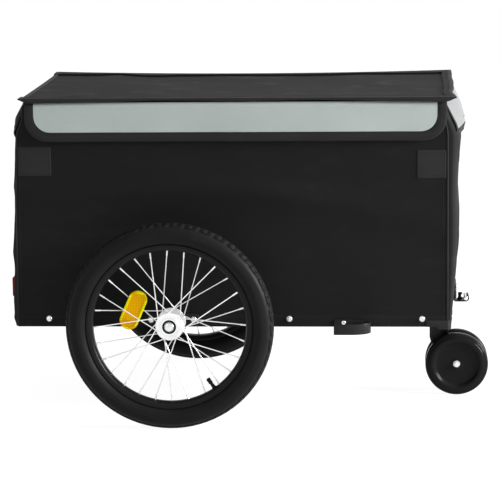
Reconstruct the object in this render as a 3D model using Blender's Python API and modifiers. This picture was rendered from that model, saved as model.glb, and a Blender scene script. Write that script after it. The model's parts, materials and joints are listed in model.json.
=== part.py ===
"""Two-wheeled cargo trailer for a bicycle: a fabric box on a steel ladder frame.

The trailer stands on two spoked wheels and a twin front castor. Its cover opens
about its rear edge. +X is forward, +Z is up, and Z = 0 is the ground.
"""

import math

import bmesh
import bpy
from mathutils import Matrix, Vector

# General fits
SEAT = 0.0003            # gap between two pieces that touch
RUN = 0.0006             # radial gap of a turning fit
HINGE_GAP = 0.0020       # open seam beside the cover's fabric hinge
SEAM = 0.0007            # gap at a sewn corner, where the rear panel leans
JOIN = 0.001             # how far two shapes of one piece run into each other
PLATE_CORNER = 0.006     # corner radius of small plates and reflectors
EDGE_BEVEL = 0.0012      # soft edge of a lens

# Wheels
WHEEL_DIAMETER = 0.400
TYRE_WIDTH = 0.047
TYRE_HEIGHT = 0.041      # from the rim's edge to the tread
RIM_WELL = 0.0045        # how deep the tyre sits in the rim
RIM_DEPTH = 0.013
RIM_WIDTH = 0.029
SPOKES = 28
SPOKE_RADIUS = 0.0010
SPOKE_CROSSINGS = 2
SPOKE_STAGGER = 0.002    # the rim's holes stand this far to either side of its middle
NIPPLE_RADIUS = 0.0021
NIPPLE_LENGTH = 0.012
FLANGE_RADIUS = 0.027
FLANGE_THICKNESS = 0.003
FLANGE_HOLE_RADIUS = 0.0225
FLANGE_OUTBOARD = 0.005  # outer flange beyond the tyre's mid-plane
FLANGE_SPACING = 0.050
HUB_BARREL_RADIUS = 0.0165
HUB_NOSE_RADIUS = 0.0175
HUB_END = 0.006          # hub nose beyond each flange
AXLE_RADIUS = 0.006
AXLE_BUTTON_RADIUS = 0.0085
AXLE_BUTTON_HEIGHT = 0.005
NIPPLE_LEAN = 0.3        # sine of the steepest angle at which a spoke meets the rim
WHEEL_STEPS = 36         # facets round a tyre or a rim
VALVE_RADIUS = 0.0035
VALVE_LENGTH = 0.022
VALVE_ANGLE = -55.0
RIM_LIP = 0.0019         # wall of the rim's two flanges
RIM_CHAMFER = 0.004      # how much the rim narrows towards the hub
RIM_BED = 0.45           # share of the rim's width that is flat at its inner face
FLANGE_CONE = 0.003      # taper between a flange and the barrel
SPOKE_PHASE = 1.0        # angle of the first spoke's rim end, in degrees
BUSH_RADIUS = 0.013
BUSH_LENGTH = 0.0081     # from the bracket's inner face out to the hub
BRACKET_LENGTH = 0.104
BRACKET_THICKNESS = 0.003
WHEEL_REFLECTOR_LENGTH = 0.078
WHEEL_REFLECTOR_WIDTH = 0.036
WHEEL_REFLECTOR_DEPTH = 0.008
WHEEL_REFLECTOR_RADIUS = 0.0755
WHEEL_REFLECTOR_ANGLE = 156.5

# Body, measured from the axle along X
BODY_REAR = -0.300
BODY_FRONT = 0.528
BODY_SIDE = 0.260        # outer face of a side panel
BODY_BOTTOM = 0.187
PANEL_DROP = 0.0105      # from the cover's top face to a panel's top edge
SKIN = 0.0025
PANEL_ROWS = 8           # grid rows of the panels that meet at the rear corners
SIDE_SAG = 0.002
REAR_BULGE = 0.005
REAR_SHOULDER = 0.0165   # how far the rear panel leans in at its top
FRONT_BOW_BOTTOM = 0.0130
FRONT_BOW_TOP = 0.0030
FRONT_BELLY = 0.0155

# Frame
RAIL = 0.025             # square tube of the ladder frame
RAIL_EDGE = 0.002        # rounding of the tube's corners
POST_RADIUS = 0.0075
SLEEVE_RADIUS = 0.0094
CORNER_HALF = 0.010      # half the side of a corner fitting
CORNER_BEVEL = 0.003
SLEEVE_LENGTH = 0.030
CROSS_RAIL_X = 0.262     # second cross rail, forward of the axle
FLOOR_THICKNESS = 0.004

# Cover
COVER_REAR_INSET = 0.012  # the cover's rear tips lie ahead of the rear panel's foot
COVER_FRONT_REACH = 0.017
COVER_SIDE_REACH = 0.012
COVER_TOP = 0.628
COVER_THICKNESS = 0.0025
COVER_LIP = 0.0095       # turned-down hem, from the top face
COVER_PULL = 0.005       # how far each edge is drawn in between the corner tips
COVER_SAG = 0.004

# Flaps that hang from the cover
FLAP_DROP = 0.080        # from the cover's top face to a flap's lower edge
FLAP_THICKNESS = 0.002
FLAP_CLEARANCE = 0.0055  # between a side panel and the flap that swings past it
FLAP_BORDER = 0.0175
FLAP_HEAD = 0.002        # binding above the light strip
FLAP_CORNER = 0.034
STRIP_CORNER = 0.020
STRIP_THICKNESS = 0.0012
FLAP_TRIM = 0.002        # cloth beyond the outline, cut off by the trim
TRIM_DEPTH = 0.12        # depth of the block that trims a flap
SIDE_FLAP_REAR_INSET = 0.011
SIDE_FLAP_FRONT_INSET = 0.018
END_FLAP_INSET = 0.022
FRONT_FLAP_LEAN = 20.0

# Side hooks
HOOK_REAR = 0.3125
HOOK_NOSE = 0.383
HOOK_REACH = 0.0545
HOOK_HEIGHT = 0.024
HOOK_BOTTOM = 0.180
HOOK_THICKNESS = 0.003

# Drawbar lug
LUG_TOP = 0.240
LUG_FOOT = 0.1905
LUG_BEND = 0.004
LUG_BOLT_RISE = 0.004    # the bolts' height above the middle of the front rail
LUG_WIDTH = 0.040
LUG_THICKNESS = 0.0025
LUG_PIN_X = 0.5706
LUG_PIN_RADIUS = 0.004
LUG_PIN_LENGTH = 0.048
LUG_BUFFER_RADIUS = 0.0055
LUG_BUFFER_HEIGHT = 0.0125
LUG_BUFFER_WAIST = 0.62
LUG_STANDOFF_RADIUS = 0.005
LUG_STANDOFF_SPACING = 0.022

# Reflectors
REFLECTOR_WIDTH = 0.072
REFLECTOR_HEIGHT = 0.039
REFLECTOR_DEPTH = 0.009
REFLECTOR_INSET = 0.095  # from a side panel's face to a reflector's middle
FRONT_REFLECTOR_Z = 0.2385
REAR_REFLECTOR_Z = 0.257

# Castor
CASTOR_DIAMETER = 0.127
CASTOR_WIDTH = 0.066
CASTOR_TRAIL = 0.038
CASTOR_X = 0.5525        # wheel centre as parked, ahead of the swivel
CASTOR_PLATE_LENGTH = 0.056
CASTOR_PLATE_WIDTH = 0.074
CASTOR_PLATE_THICKNESS = 0.003
CASTOR_RACE_RADIUS = 0.020
CASTOR_RACE_HEIGHT = 0.008
CASTOR_LEG_WIDTH = 0.016
CASTOR_CAP_HEIGHT = 0.007
CASTOR_NECK_HALF = 0.0165
CASTOR_EYE_RADIUS = 0.0125
CASTOR_DISH = 0.0065     # how far the outer faces are sunk
CASTOR_LEG_GAP = 0.0025  # between the leg and each wheel
CASTOR_AXLE_RADIUS = 0.007

# Derived sizes
WHEEL_RADIUS = WHEEL_DIAMETER / 2
AXLE_Z = WHEEL_RADIUS
RIM_OUTER_RADIUS = WHEEL_RADIUS - TYRE_HEIGHT
RIM_SEAT_RADIUS = RIM_OUTER_RADIUS - RIM_WELL
RIM_INNER_RADIUS = RIM_OUTER_RADIUS - RIM_DEPTH
CASTOR_RADIUS = CASTOR_DIAMETER / 2
SWIVEL_X = CASTOR_X - CASTOR_TRAIL
PANEL_TOP = COVER_TOP - PANEL_DROP
COVER_REAR = BODY_REAR + COVER_REAR_INSET
COVER_FRONT = BODY_FRONT + COVER_FRONT_REACH
COVER_HALF_WIDTH = BODY_SIDE + COVER_SIDE_REACH
RAIL_TOP = BODY_BOTTOM + RAIL
RAIL_SIDE = BODY_SIDE - SKIN - SEAT
RAIL_REAR = BODY_REAR + SKIN + SEAT
RAIL_FRONT = SWIVEL_X + RAIL / 2
POST_Y = RAIL_SIDE - CORNER_HALF
POST_REAR_X = BODY_REAR + REAR_SHOULDER + SKIN + SEAT + CORNER_HALF
POST_FRONT_X = SWIVEL_X
FRAME_TOP_Z = COVER_TOP - COVER_THICKNESS - SEAT - CORNER_HALF
HINGE_X = COVER_REAR      # the hinge lies under the rear corner tips
HINGE_Z = COVER_TOP - COVER_LIP
FLAP_TOP = HINGE_Z - SEAT
FLAP_BOTTOM = COVER_TOP - FLAP_DROP
SIDE_FLAP_Y = BODY_SIDE + FLAP_CLEARANCE
SIDE_FLAP_REAR = COVER_REAR + SIDE_FLAP_REAR_INSET
SIDE_FLAP_FRONT = COVER_FRONT - SIDE_FLAP_FRONT_INSET
END_FLAP_HALF_WIDTH = COVER_HALF_WIDTH - END_FLAP_INSET
STRIP_INSET = (FLAP_THICKNESS - STRIP_THICKNESS) / 2
FLAP_OUTWARD = {"right": (0, -1, 0), "left": (0, 1, 0), "front": (1, 0, 0), "rear": (-1, 0, 0)}
NIPPLE_END_RADIUS = (RIM_INNER_RADIUS * math.cos(math.pi / WHEEL_STEPS) - SEAT
                     - NIPPLE_RADIUS * NIPPLE_LEAN)
HUB_INNER = FLANGE_SPACING - FLANGE_OUTBOARD + HUB_END
HUB_OUTER = FLANGE_OUTBOARD + HUB_END
REFLECTOR_Y = BODY_SIDE - REFLECTOR_INSET
BUSH_END = BODY_SIDE + SEAT + BUSH_LENGTH
WHEEL_Y = BUSH_END + 2 * SEAT + HUB_INNER   # from the middle to each tyre's mid-plane
FRONT_SEAM_X = BODY_FRONT + SEAT + SKIN

COLLECTION_NAME = "bicycle_trailer"
CUTTER_COLLECTION_NAME = "cutters"

BLACK_FABRIC = ("black_fabric", (0.014, 0.014, 0.015), 0.78, 0.0)
COVER_FABRIC = ("cover_fabric", (0.035, 0.035, 0.036), 0.62, 0.0)
LIGHT_STRIP = ("light_strip", (0.36, 0.42, 0.40), 0.50, 0.0)
BLACK_STEEL = ("black_steel", (0.012, 0.012, 0.013), 0.38, 0.0)
BRIGHT_STEEL = ("bright_steel", (0.72, 0.73, 0.75), 0.24, 1.0)
TYRE_RUBBER = ("tyre_rubber", (0.013, 0.013, 0.014), 0.55, 0.0)
BLACK_PLASTIC = ("black_plastic", (0.012, 0.012, 0.013), 0.25, 0.0)
AMBER_LENS = ("amber_lens", (0.80, 0.48, 0.005), 0.18, 0.0)
RED_LENS = ("red_lens", (0.35, 0.015, 0.012), 0.18, 0.0)
WHITE_LENS = ("white_lens", (0.85, 0.86, 0.88), 0.15, 0.0)
FLOOR_PLASTIC = ("floor_plastic", (0.02, 0.02, 0.021), 0.65, 0.0)


def clear_scene():
    """Remove what is in the scene and make the two collections."""
    for obj in list(bpy.data.objects):
        bpy.data.objects.remove(obj, do_unlink=True)
    for name in (COLLECTION_NAME, CUTTER_COLLECTION_NAME):
        collection = bpy.data.collections.new(name)
        bpy.context.scene.collection.children.link(collection)


def fore(x):
    """X in the part's frame of a point x forward of the axle."""
    return x + ORIGIN_SHIFT


def material(spec):
    """A Principled material, made once for each finish."""
    name, colour, roughness, metallic = spec
    found = bpy.data.materials.get(name)
    if found:
        return found
    made = bpy.data.materials.new(name)
    made.use_nodes = True
    shader = made.node_tree.nodes["Principled BSDF"]
    shader.inputs["Base Color"].default_value = (*colour, 1.0)
    shader.inputs["Roughness"].default_value = roughness
    shader.inputs["Metallic"].default_value = metallic
    made.diffuse_color = (*colour, 1.0)
    return made


def link(obj, spec=None):
    """Put an object in the part's collection, or in the cutters' one without a finish."""
    for collection in list(obj.users_collection):
        collection.objects.unlink(obj)
    if spec is None:
        bpy.data.collections[CUTTER_COLLECTION_NAME].objects.link(obj)
        obj.hide_render = True
        obj.display_type = "WIRE"
    else:
        bpy.data.collections[COLLECTION_NAME].objects.link(obj)
        obj.data.materials.clear()
        obj.data.materials.append(material(spec))
    return obj


def shade_round(obj, angle=35.0):
    """Smooth shading with sharp edges above an angle in degrees."""
    obj.data.shade_smooth()
    obj.data.set_sharp_from_angle(angle=math.radians(angle))
    return obj


def box(name, low, high, spec=None):
    """A rectangular block between two corners."""
    bm = bmesh.new()
    bmesh.ops.create_cube(bm, size=1.0)
    size = [b - a for a, b in zip(low, high)]
    centre = [(a + b) / 2 for a, b in zip(low, high)]
    bmesh.ops.scale(bm, vec=size, verts=bm.verts)
    mesh = bpy.data.meshes.new(name)
    bm.to_mesh(mesh)
    bm.free()
    obj = bpy.data.objects.new(name, mesh)
    obj.location = centre
    return link(obj, spec)


def rod(name, start, end, radius, spec=None, sides=14):
    """A round bar between two points."""
    start, end = Vector(start), Vector(end)
    bm = bmesh.new()
    length = (end - start).length
    bmesh.ops.create_cone(bm, cap_ends=True, segments=sides, radius1=radius,
                          radius2=radius, depth=length)
    turn = (end - start).to_track_quat("Z", "Y").to_matrix().to_4x4()
    bmesh.ops.transform(bm, matrix=turn, verts=bm.verts)
    mesh = bpy.data.meshes.new(name)
    bm.to_mesh(mesh)
    bm.free()
    obj = bpy.data.objects.new(name, mesh)
    obj.location = (start + end) / 2
    return shade_round(link(obj, spec))


def turned(name, profile, steps, spec=None, closed=False):
    """A turned shape: a profile of (radius, height) points, spun about Z."""
    mesh = bpy.data.meshes.new(name)
    count = len(profile)
    edges = [(i, i + 1) for i in range(count - 1)]
    if closed:
        edges.append((count - 1, 0))
    mesh.from_pydata([(r, 0.0, h) for r, h in profile], edges, [])
    obj = bpy.data.objects.new(name, mesh)
    screw = obj.modifiers.new("turn", "SCREW")
    screw.axis = "Z"
    screw.steps = steps
    screw.render_steps = steps
    screw.use_merge_vertices = True
    screw.merge_threshold = 0.00001
    screw.use_smooth_shade = True
    return link(obj, spec)


def along_y(obj, centre, way=1):
    """Turn an object's Z to point along +Y or, with way -1, -Y, and place its centre."""
    obj.rotation_euler = (-way * math.pi / 2, 0.0, 0.0)
    obj.location = centre
    return obj


def flat_outline(name, loops, thickness):
    """A flat plate from closed loops of (x, y) points, as a 2D curve."""
    curve = bpy.data.curves.new(name, "CURVE")
    curve.dimensions = "2D"
    curve.fill_mode = "BOTH"
    curve.extrude = thickness / 2
    for loop in loops:
        spline = curve.splines.new("POLY")
        spline.points.add(len(loop) - 1)
        for point, (x, y) in zip(spline.points, loop):
            point.co = (x, y, 0.0, 1.0)
        spline.use_cyclic_u = True
    obj = bpy.data.objects.new(name, curve)
    bpy.context.scene.collection.objects.link(obj)
    return obj


def as_mesh(curve_object, spec=None):
    """Make a curve object a welded mesh object that can be cut and joined."""
    bpy.context.view_layer.update()
    graph = bpy.context.evaluated_depsgraph_get()
    mesh = bpy.data.meshes.new_from_object(curve_object.evaluated_get(graph))
    bm = bmesh.new()
    bm.from_mesh(mesh)
    bmesh.ops.remove_doubles(bm, verts=bm.verts, dist=0.000005)
    bm.to_mesh(mesh)
    bm.free()
    name = curve_object.name
    place = curve_object.matrix_world.copy()
    bpy.data.objects.remove(curve_object, do_unlink=True)
    obj = bpy.data.objects.new(name, mesh)
    obj.matrix_world = place
    return link(obj, spec)


def wire(name, points, radius, sides=1):
    """A bent wire through points, as a POLY curve with filled caps."""
    curve = bpy.data.curves.new(name, "CURVE")
    curve.dimensions = "3D"
    curve.bevel_depth = radius
    curve.bevel_resolution = sides
    curve.use_fill_caps = True
    spline = curve.splines.new("POLY")
    spline.points.add(len(points) - 1)
    for point, place in zip(spline.points, points):
        point.co = (*place, 1.0)
    obj = bpy.data.objects.new(name, curve)
    bpy.context.scene.collection.objects.link(obj)
    return obj


def arc(centre, radius, start, end, steps):
    """Points on an arc, with angles in degrees."""
    points = []
    for i in range(steps + 1):
        angle = math.radians(start + (end - start) * i / steps)
        points.append((centre[0] + radius * math.cos(angle),
                       centre[1] + radius * math.sin(angle)))
    return points


def round_box_loop(low, high, radii, steps=4):
    """A rectangle's loop whose four corners have their own radii, from low-left round."""
    (x0, y0), (x1, y1) = low, high
    corners = (((x0, y0), 1, 1, 180.0), ((x1, y0), -1, 1, 270.0),
               ((x1, y1), -1, -1, 0.0), ((x0, y1), 1, -1, 90.0))
    points = []
    for (corner, sx, sy, start), radius in zip(corners, radii):
        if radius <= 0.0:
            points.append(corner)
            continue
        centre = (corner[0] + sx * radius, corner[1] + sy * radius)
        points += arc(centre, radius, start, start + 90.0, steps)
    return points


def boolean(obj, tool, operation):
    """Cut, join or keep the overlap with another object, which becomes a hidden tool."""
    link(tool)
    modifier = obj.modifiers.new(operation.lower(), "BOOLEAN")
    modifier.operation = operation
    modifier.object = tool
    modifier.solver = "EXACT"
    return obj


def ribbon(name, path, width, thickness, spec):
    """A bent strip: a path in a plane, swept across a width, with a wall."""
    bm = bmesh.new()
    near = [bm.verts.new((a, -width / 2, b)) for a, b in path]
    edges = [bm.edges.new((near[i], near[i + 1])) for i in range(len(near) - 1)]
    swept = bmesh.ops.extrude_edge_only(bm, edges=edges)
    far = [item for item in swept["geom"] if isinstance(item, bmesh.types.BMVert)]
    bmesh.ops.translate(bm, vec=(0.0, width, 0.0), verts=far)
    mesh = bpy.data.meshes.new(name)
    bm.to_mesh(mesh)
    bm.free()
    obj = bpy.data.objects.new(name, mesh)
    wall = obj.modifiers.new("wall", "SOLIDIFY")
    wall.thickness = thickness
    wall.offset = 0.0
    wall.use_even_offset = True
    return link(obj, spec)


def sheet(name, place, across, down, thickness, spec, spread=None):
    """A fabric sheet: a grid laid by a function of (u, v) in -1..1 and 0..1, with a wall."""
    bm = bmesh.new()
    bmesh.ops.create_grid(bm, x_segments=across, y_segments=down, size=1.0)
    for vert in bm.verts:
        u, v = vert.co.x, (vert.co.y + 1.0) / 2
        if spread:
            u = spread(u)
        vert.co = place(u, v)
    mesh = bpy.data.meshes.new(name)
    bm.to_mesh(mesh)
    bm.free()
    obj = bpy.data.objects.new(name, mesh)
    wall = obj.modifiers.new("wall", "SOLIDIFY")
    wall.thickness = thickness
    wall.offset = -1.0
    wall.use_even_offset = True
    return shade_round(link(obj, spec), 50.0)


def ease_to_edges(u):
    """Spread grid lines so that they crowd towards both edges."""
    return math.sin(u * math.pi / 2)


def rear_x(z):
    """The rear panel's corner line: upright, then leaning in to the cover."""
    height = (z - BODY_BOTTOM) / (PANEL_TOP - BODY_BOTTOM)
    return BODY_REAR + REAR_SHOULDER * max(0.0, min(1.0, height)) ** 6


def rear_surface_x(y, z):
    """The rear panel's outer face, bulged a little between its corners."""
    across = y / BODY_SIDE
    height = (z - BODY_BOTTOM) / (PANEL_TOP - BODY_BOTTOM)
    belly = REAR_BULGE * (1 - across ** 4) * math.sin(math.pi * max(0.0, min(1.0, height)))
    return rear_x(z) - belly


def front_bow(v):
    """How far the front panel stands forward of its seams at a height share v."""
    edge = FRONT_BOW_BOTTOM * (1 - v) + FRONT_BOW_TOP * v
    return edge + FRONT_BELLY * math.sin(math.pi * v)


def front_surface_x(y, z):
    """The front panel's outer face: round corners and a full belly."""
    across = min(1.0, abs(y) / BODY_SIDE)
    v = max(0.0, min(1.0, (z - BODY_BOTTOM) / (PANEL_TOP - BODY_BOTTOM)))
    return FRONT_SEAM_X + front_bow(v) * (1 - across ** 4) ** 0.25


def reflector_seat(end, z):
    """The proudest X of the panel behind a reflector."""
    places = [(REFLECTOR_Y + dy, z + dz)
              for dy in (-REFLECTOR_WIDTH / 2, 0.0, REFLECTOR_WIDTH / 2)
              for dz in (-REFLECTOR_HEIGHT / 2, REFLECTOR_HEIGHT / 2)]
    if end == "front":
        return max(front_surface_x(y, height) for y, height in places)
    return min(rear_surface_x(y, height) for y, height in places)


# Where the origin lies: half way between the rear reflectors and the castor's tread
REAR_REACH = SEAT + REFLECTOR_DEPTH - reflector_seat("rear", REAR_REFLECTOR_Z)
FRONT_REACH = CASTOR_X + CASTOR_RADIUS
ORIGIN_SHIFT = (REAR_REACH - FRONT_REACH) / 2   # the axle's X in the part's frame


def ladder():
    """The ladder's rails as a grid of tube faces with three open bays, one tube deep."""
    inner_y = RAIL_SIDE - RAIL
    xs = [RAIL_REAR] + [x for bay in bay_spans() for x in bay] + [RAIL_FRONT]
    ys = (-RAIL_SIDE, -inner_y, inner_y, RAIL_SIDE)
    bm = bmesh.new()
    grid = [[bm.verts.new((fore(x), y, BODY_BOTTOM)) for y in ys] for x in xs]
    for i in range(len(xs) - 1):
        for j in range(len(ys) - 1):
            if i % 2 == 0 or j != 1:
                bm.faces.new((grid[i][j], grid[i + 1][j], grid[i + 1][j + 1], grid[i][j + 1]))
    raised = bmesh.ops.extrude_face_region(bm, geom=bm.faces[:])
    top = [item for item in raised["geom"] if isinstance(item, bmesh.types.BMVert)]
    bmesh.ops.translate(bm, vec=(0.0, 0.0, RAIL), verts=top)
    bmesh.ops.recalc_face_normals(bm, faces=bm.faces)
    mesh = bpy.data.meshes.new("base_frame")
    bm.to_mesh(mesh)
    bm.free()
    return link(bpy.data.objects.new("base_frame", mesh), BLACK_STEEL)


def base_frame():
    """Welded ladder of square tube with four post sockets and drilled for the axles."""
    frame = ladder()
    soften = frame.modifiers.new("soft_corners", "BEVEL")
    soften.width = RAIL_EDGE
    soften.segments = 1
    soften.limit_method = "ANGLE"
    for side in (-1, 1):
        for x in (POST_REAR_X, POST_FRONT_X):
            tag = f"{side}_{x:.2f}"
            socket = rod(f"socket_{tag}", (fore(x), side * POST_Y, RAIL_TOP - RAIL_EDGE - JOIN),
                         (fore(x), side * POST_Y, RAIL_TOP + SLEEVE_LENGTH), SLEEVE_RADIUS)
            boolean(frame, socket, "UNION")
            bore = rod(f"socket_bore_{tag}", (fore(x), side * POST_Y, RAIL_TOP),
                       (fore(x), side * POST_Y, RAIL_TOP + 2 * SLEEVE_LENGTH), POST_RADIUS + SEAT)
            boolean(frame, bore, "DIFFERENCE")
        drill = rod(f"axle_drill_{side}", (fore(0), side * (RAIL_SIDE - 2 * RAIL), AXLE_Z),
                    (fore(0), side * (RAIL_SIDE + RAIL), AXLE_Z), AXLE_RADIUS + SEAT)
        boolean(frame, drill, "DIFFERENCE")
    return shade_round(frame, 25.0)


def bay_spans():
    """The open bays between the cross rails, as (rear, front) forward of the axle."""
    edges = [RAIL_REAR + RAIL, -RAIL / 2, RAIL / 2, CROSS_RAIL_X - RAIL / 2,
             CROSS_RAIL_X + RAIL / 2, RAIL_FRONT - RAIL]
    return list(zip(edges[0::2], edges[1::2]))


def floor_board():
    """Floor sheet on the ladder frame, notched round the post sockets."""
    z = RAIL_TOP + SEAT
    notch_y = POST_Y - SLEEVE_RADIUS - SEAT
    notch_rear = POST_REAR_X + SLEEVE_RADIUS + SEAT
    notch_front = POST_FRONT_X - SLEEVE_RADIUS - SEAT
    edge_y = RAIL_SIDE - SIDE_SAG
    right = [(notch_rear, -edge_y), (notch_front, -edge_y), (notch_front, -notch_y),
             (RAIL_FRONT, -notch_y)]
    left = [(x, -y) for x, y in reversed(right)]
    rear = [(RAIL_REAR, notch_y), (RAIL_REAR, -notch_y), (notch_rear, -notch_y)]
    loop = [(fore(x), y) for x, y in right + left + [(notch_rear, notch_y)] + rear]
    plate = flat_outline("floor_board", [loop], FLOOR_THICKNESS)
    plate.location.z = z + FLOOR_THICKNESS / 2
    return as_mesh(plate, FLOOR_PLASTIC)


def posts():
    """Four round posts between the ladder frame and the top frame."""
    top = FRAME_TOP_Z - CORNER_HALF
    for side, side_name in ((-1, "right"), (1, "left")):
        for x, end_name in ((POST_REAR_X, "rear"), (POST_FRONT_X, "front")):
            rod(f"post_{end_name}_{side_name}", (fore(x), side * POST_Y, RAIL_TOP + SEAT),
                (fore(x), side * POST_Y, top - SEAT), POST_RADIUS, BLACK_STEEL)


def top_frame():
    """Ring of round tube with a three-way sleeve at each corner, bored for the posts."""
    corners = [(fore(POST_REAR_X), -POST_Y), (fore(POST_FRONT_X), -POST_Y),
               (fore(POST_FRONT_X), POST_Y), (fore(POST_REAR_X), POST_Y)]
    z = FRAME_TOP_Z
    ring = wire("top_frame", [(x, y, z) for x, y in corners], POST_RADIUS, 2)
    ring.data.splines[0].use_cyclic_u = True
    frame = as_mesh(ring, BLACK_STEEL)
    core = CORNER_HALF / 2
    for i, (x, y) in enumerate(corners):
        inward_x = 1 if i in (0, 3) else -1
        inward_y = 1 if i < 2 else -1
        block = box(f"corner_{i}", (x - CORNER_HALF, y - CORNER_HALF, z - CORNER_HALF),
                    (x + CORNER_HALF, y + CORNER_HALF, z + CORNER_HALF))
        soften = block.modifiers.new("round_edges", "BEVEL")
        soften.width = CORNER_BEVEL
        soften.segments = 1
        boolean(frame, block, "UNION")
        ways = [Vector((inward_x, 0, 0)), Vector((0, inward_y, 0)), Vector((0, 0, -1))]
        for j, way in enumerate(ways):
            start = Vector((x, y, z)) + way * core
            end = Vector((x, y, z)) + way * SLEEVE_LENGTH
            sleeve = rod(f"sleeve_{i}_{j}", start, end, SLEEVE_RADIUS, sides=8)
            boolean(frame, sleeve, "UNION")
        bore = rod(f"post_bore_{i}", (x, y, z - 2 * SLEEVE_LENGTH), (x, y, z - CORNER_HALF),
                   POST_RADIUS + SEAT)
        boolean(frame, bore, "DIFFERENCE")
    return shade_round(frame)


def panel_z(v):
    """Height on a panel at a share v from its bottom."""
    return BODY_BOTTOM + (PANEL_TOP - BODY_BOTTOM) * v


def side_panels():
    """Fabric side walls, stretched flat and drilled for the axles."""
    for side, name in ((-1, "right"), (1, "left")):
        def place(u, v, side=side):
            z = panel_z(v)
            low_x = rear_x(z) + SKIN + SEAM
            x = low_x + (BODY_FRONT - low_x) * (u + 1) / 2
            height = max(0.0, (z - RAIL_TOP) / (PANEL_TOP - RAIL_TOP))
            sag = SIDE_SAG * math.sin(math.pi * (u + 1) / 2) * math.sin(math.pi * height)
            return Vector((fore(x), side * (BODY_SIDE - sag), z))
        panel = sheet(f"side_panel_{name}", place, 4, PANEL_ROWS, SKIN, BLACK_FABRIC)
        if side == 1:
            panel.data.flip_normals()
        hole = rod(f"panel_axle_hole_{name}", (fore(0), side * (BODY_SIDE - RAIL), AXLE_Z),
                   (fore(0), side * (BODY_SIDE + RAIL), AXLE_Z), AXLE_RADIUS + SEAT)
        boolean(panel, hole, "DIFFERENCE")


def front_panel():
    """Fabric front wall with round corners and a full belly, holed for the lug's bolts."""
    def place(u, v):
        y = BODY_SIDE * u
        z = panel_z(v)
        return Vector((fore(front_surface_x(y, z)), y, z))
    panel = sheet("front_panel", place, 12, 6, SKIN, BLACK_FABRIC, ease_to_edges)
    for y in lug_standoffs():
        hole = rod(f"front_hole_{y:.3f}", (fore(RAIL_FRONT), y, lug_bolt_z()),
                   (fore(LUG_PIN_X), y, lug_bolt_z()), LUG_STANDOFF_RADIUS + SEAT)
        boolean(panel, hole, "DIFFERENCE")
    return panel


def rear_panel():
    """Fabric rear wall, leaning in at its top to meet the cover."""
    def place(u, v):
        y = -BODY_SIDE * u
        z = panel_z(v)
        return Vector((fore(rear_surface_x(y, z)), y, z))
    return sheet("rear_panel", place, 8, PANEL_ROWS, SKIN, BLACK_FABRIC)


def cover_top():
    """Top sheet of the cover: drawn-in edges, pointed corners and a turned-down hem."""
    half_length = (COVER_FRONT - COVER_REAR) / 2
    middle = fore((COVER_FRONT + COVER_REAR) / 2)
    bm = bmesh.new()
    bmesh.ops.create_grid(bm, x_segments=10, y_segments=8, size=1.0)
    for vert in bm.verts:
        a, b = vert.co.x, vert.co.y
        vert.co.x = middle + a * (half_length - COVER_PULL * (1 - b * b))
        vert.co.y = b * (COVER_HALF_WIDTH - COVER_PULL * (1 - a * a))
        vert.co.z = COVER_TOP - COVER_SAG * (1 - a * a) * (1 - b * b)
    rim = [edge for edge in bm.edges if edge.is_boundary]
    turned_down = bmesh.ops.extrude_edge_only(bm, edges=rim)
    hem = [item for item in turned_down["geom"] if isinstance(item, bmesh.types.BMVert)]
    bmesh.ops.translate(bm, vec=(0.0, 0.0, -COVER_LIP), verts=hem)
    bmesh.ops.recalc_face_normals(bm, faces=bm.faces)
    up = sum(face.normal.z for face in bm.faces)
    if up < 0:
        bmesh.ops.reverse_faces(bm, faces=bm.faces)
    bmesh.ops.translate(bm, vec=(-fore(HINGE_X), 0.0, -HINGE_Z), verts=bm.verts)
    mesh = bpy.data.meshes.new("cover_top")
    bm.to_mesh(mesh)
    bm.free()
    obj = bpy.data.objects.new("cover_top", mesh)
    obj.location = (fore(HINGE_X), 0.0, HINGE_Z)
    wall = obj.modifiers.new("wall", "SOLIDIFY")
    wall.thickness = COVER_THICKNESS
    wall.offset = -1.0
    wall.use_even_offset = True
    return shade_round(link(obj, COVER_FABRIC), 50.0)


def trim_block(name, centre, half, corner, bottom, top, turned_to_x):
    """A block with two round lower corners that trims cloth to its outline."""
    loop = round_box_loop((-half, bottom), (half, top), (corner, corner, 0.0, 0.0), 5)
    outline = flat_outline(name, [loop], TRIM_DEPTH)
    outline.rotation_euler = (math.pi / 2, 0.0, math.pi / 2 if turned_to_x else 0.0)
    outline.location = centre
    return as_mesh(outline)


def flap_and_strip(name, place, centre, half, top, rows=1):
    """A hanging flap with a window in it, and the light strip that fills the window."""
    outward = Vector(FLAP_OUTWARD[name])
    faces_x = outward.x != 0.0
    window_half = half - FLAP_BORDER
    window_bottom = FLAP_BOTTOM + FLAP_BORDER
    window_top = FLAP_TOP - FLAP_HEAD
    flap = sheet(f"flap_{name}", place, 1, rows, FLAP_THICKNESS, BLACK_FABRIC)
    strip = sheet(f"strip_{name}", place, 1, rows, STRIP_THICKNESS, LIGHT_STRIP)
    if outward.y > 0.0:
        flap.data.flip_normals()
        strip.data.flip_normals()
    outline = trim_block(f"flap_outline_{name}", centre, half, FLAP_CORNER, FLAP_BOTTOM, top,
                         faces_x)
    window = trim_block(f"window_{name}", centre, window_half, STRIP_CORNER, window_bottom,
                        window_top, faces_x)
    filling = trim_block(f"strip_outline_{name}", centre, window_half - SEAT,
                         STRIP_CORNER - SEAT, window_bottom + SEAT, window_top - SEAT, faces_x)
    boolean(flap, outline, "INTERSECT")
    boolean(flap, window, "DIFFERENCE")
    boolean(strip, filling, "INTERSECT")
    strip.data.transform(Matrix.Translation(-STRIP_INSET * outward))


def flap_z(v):
    """Height on the untrimmed cloth of a flap at a share v from its bottom."""
    return FLAP_BOTTOM - FLAP_TRIM + (FLAP_TOP - FLAP_BOTTOM + 2 * FLAP_TRIM) * v


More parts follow.
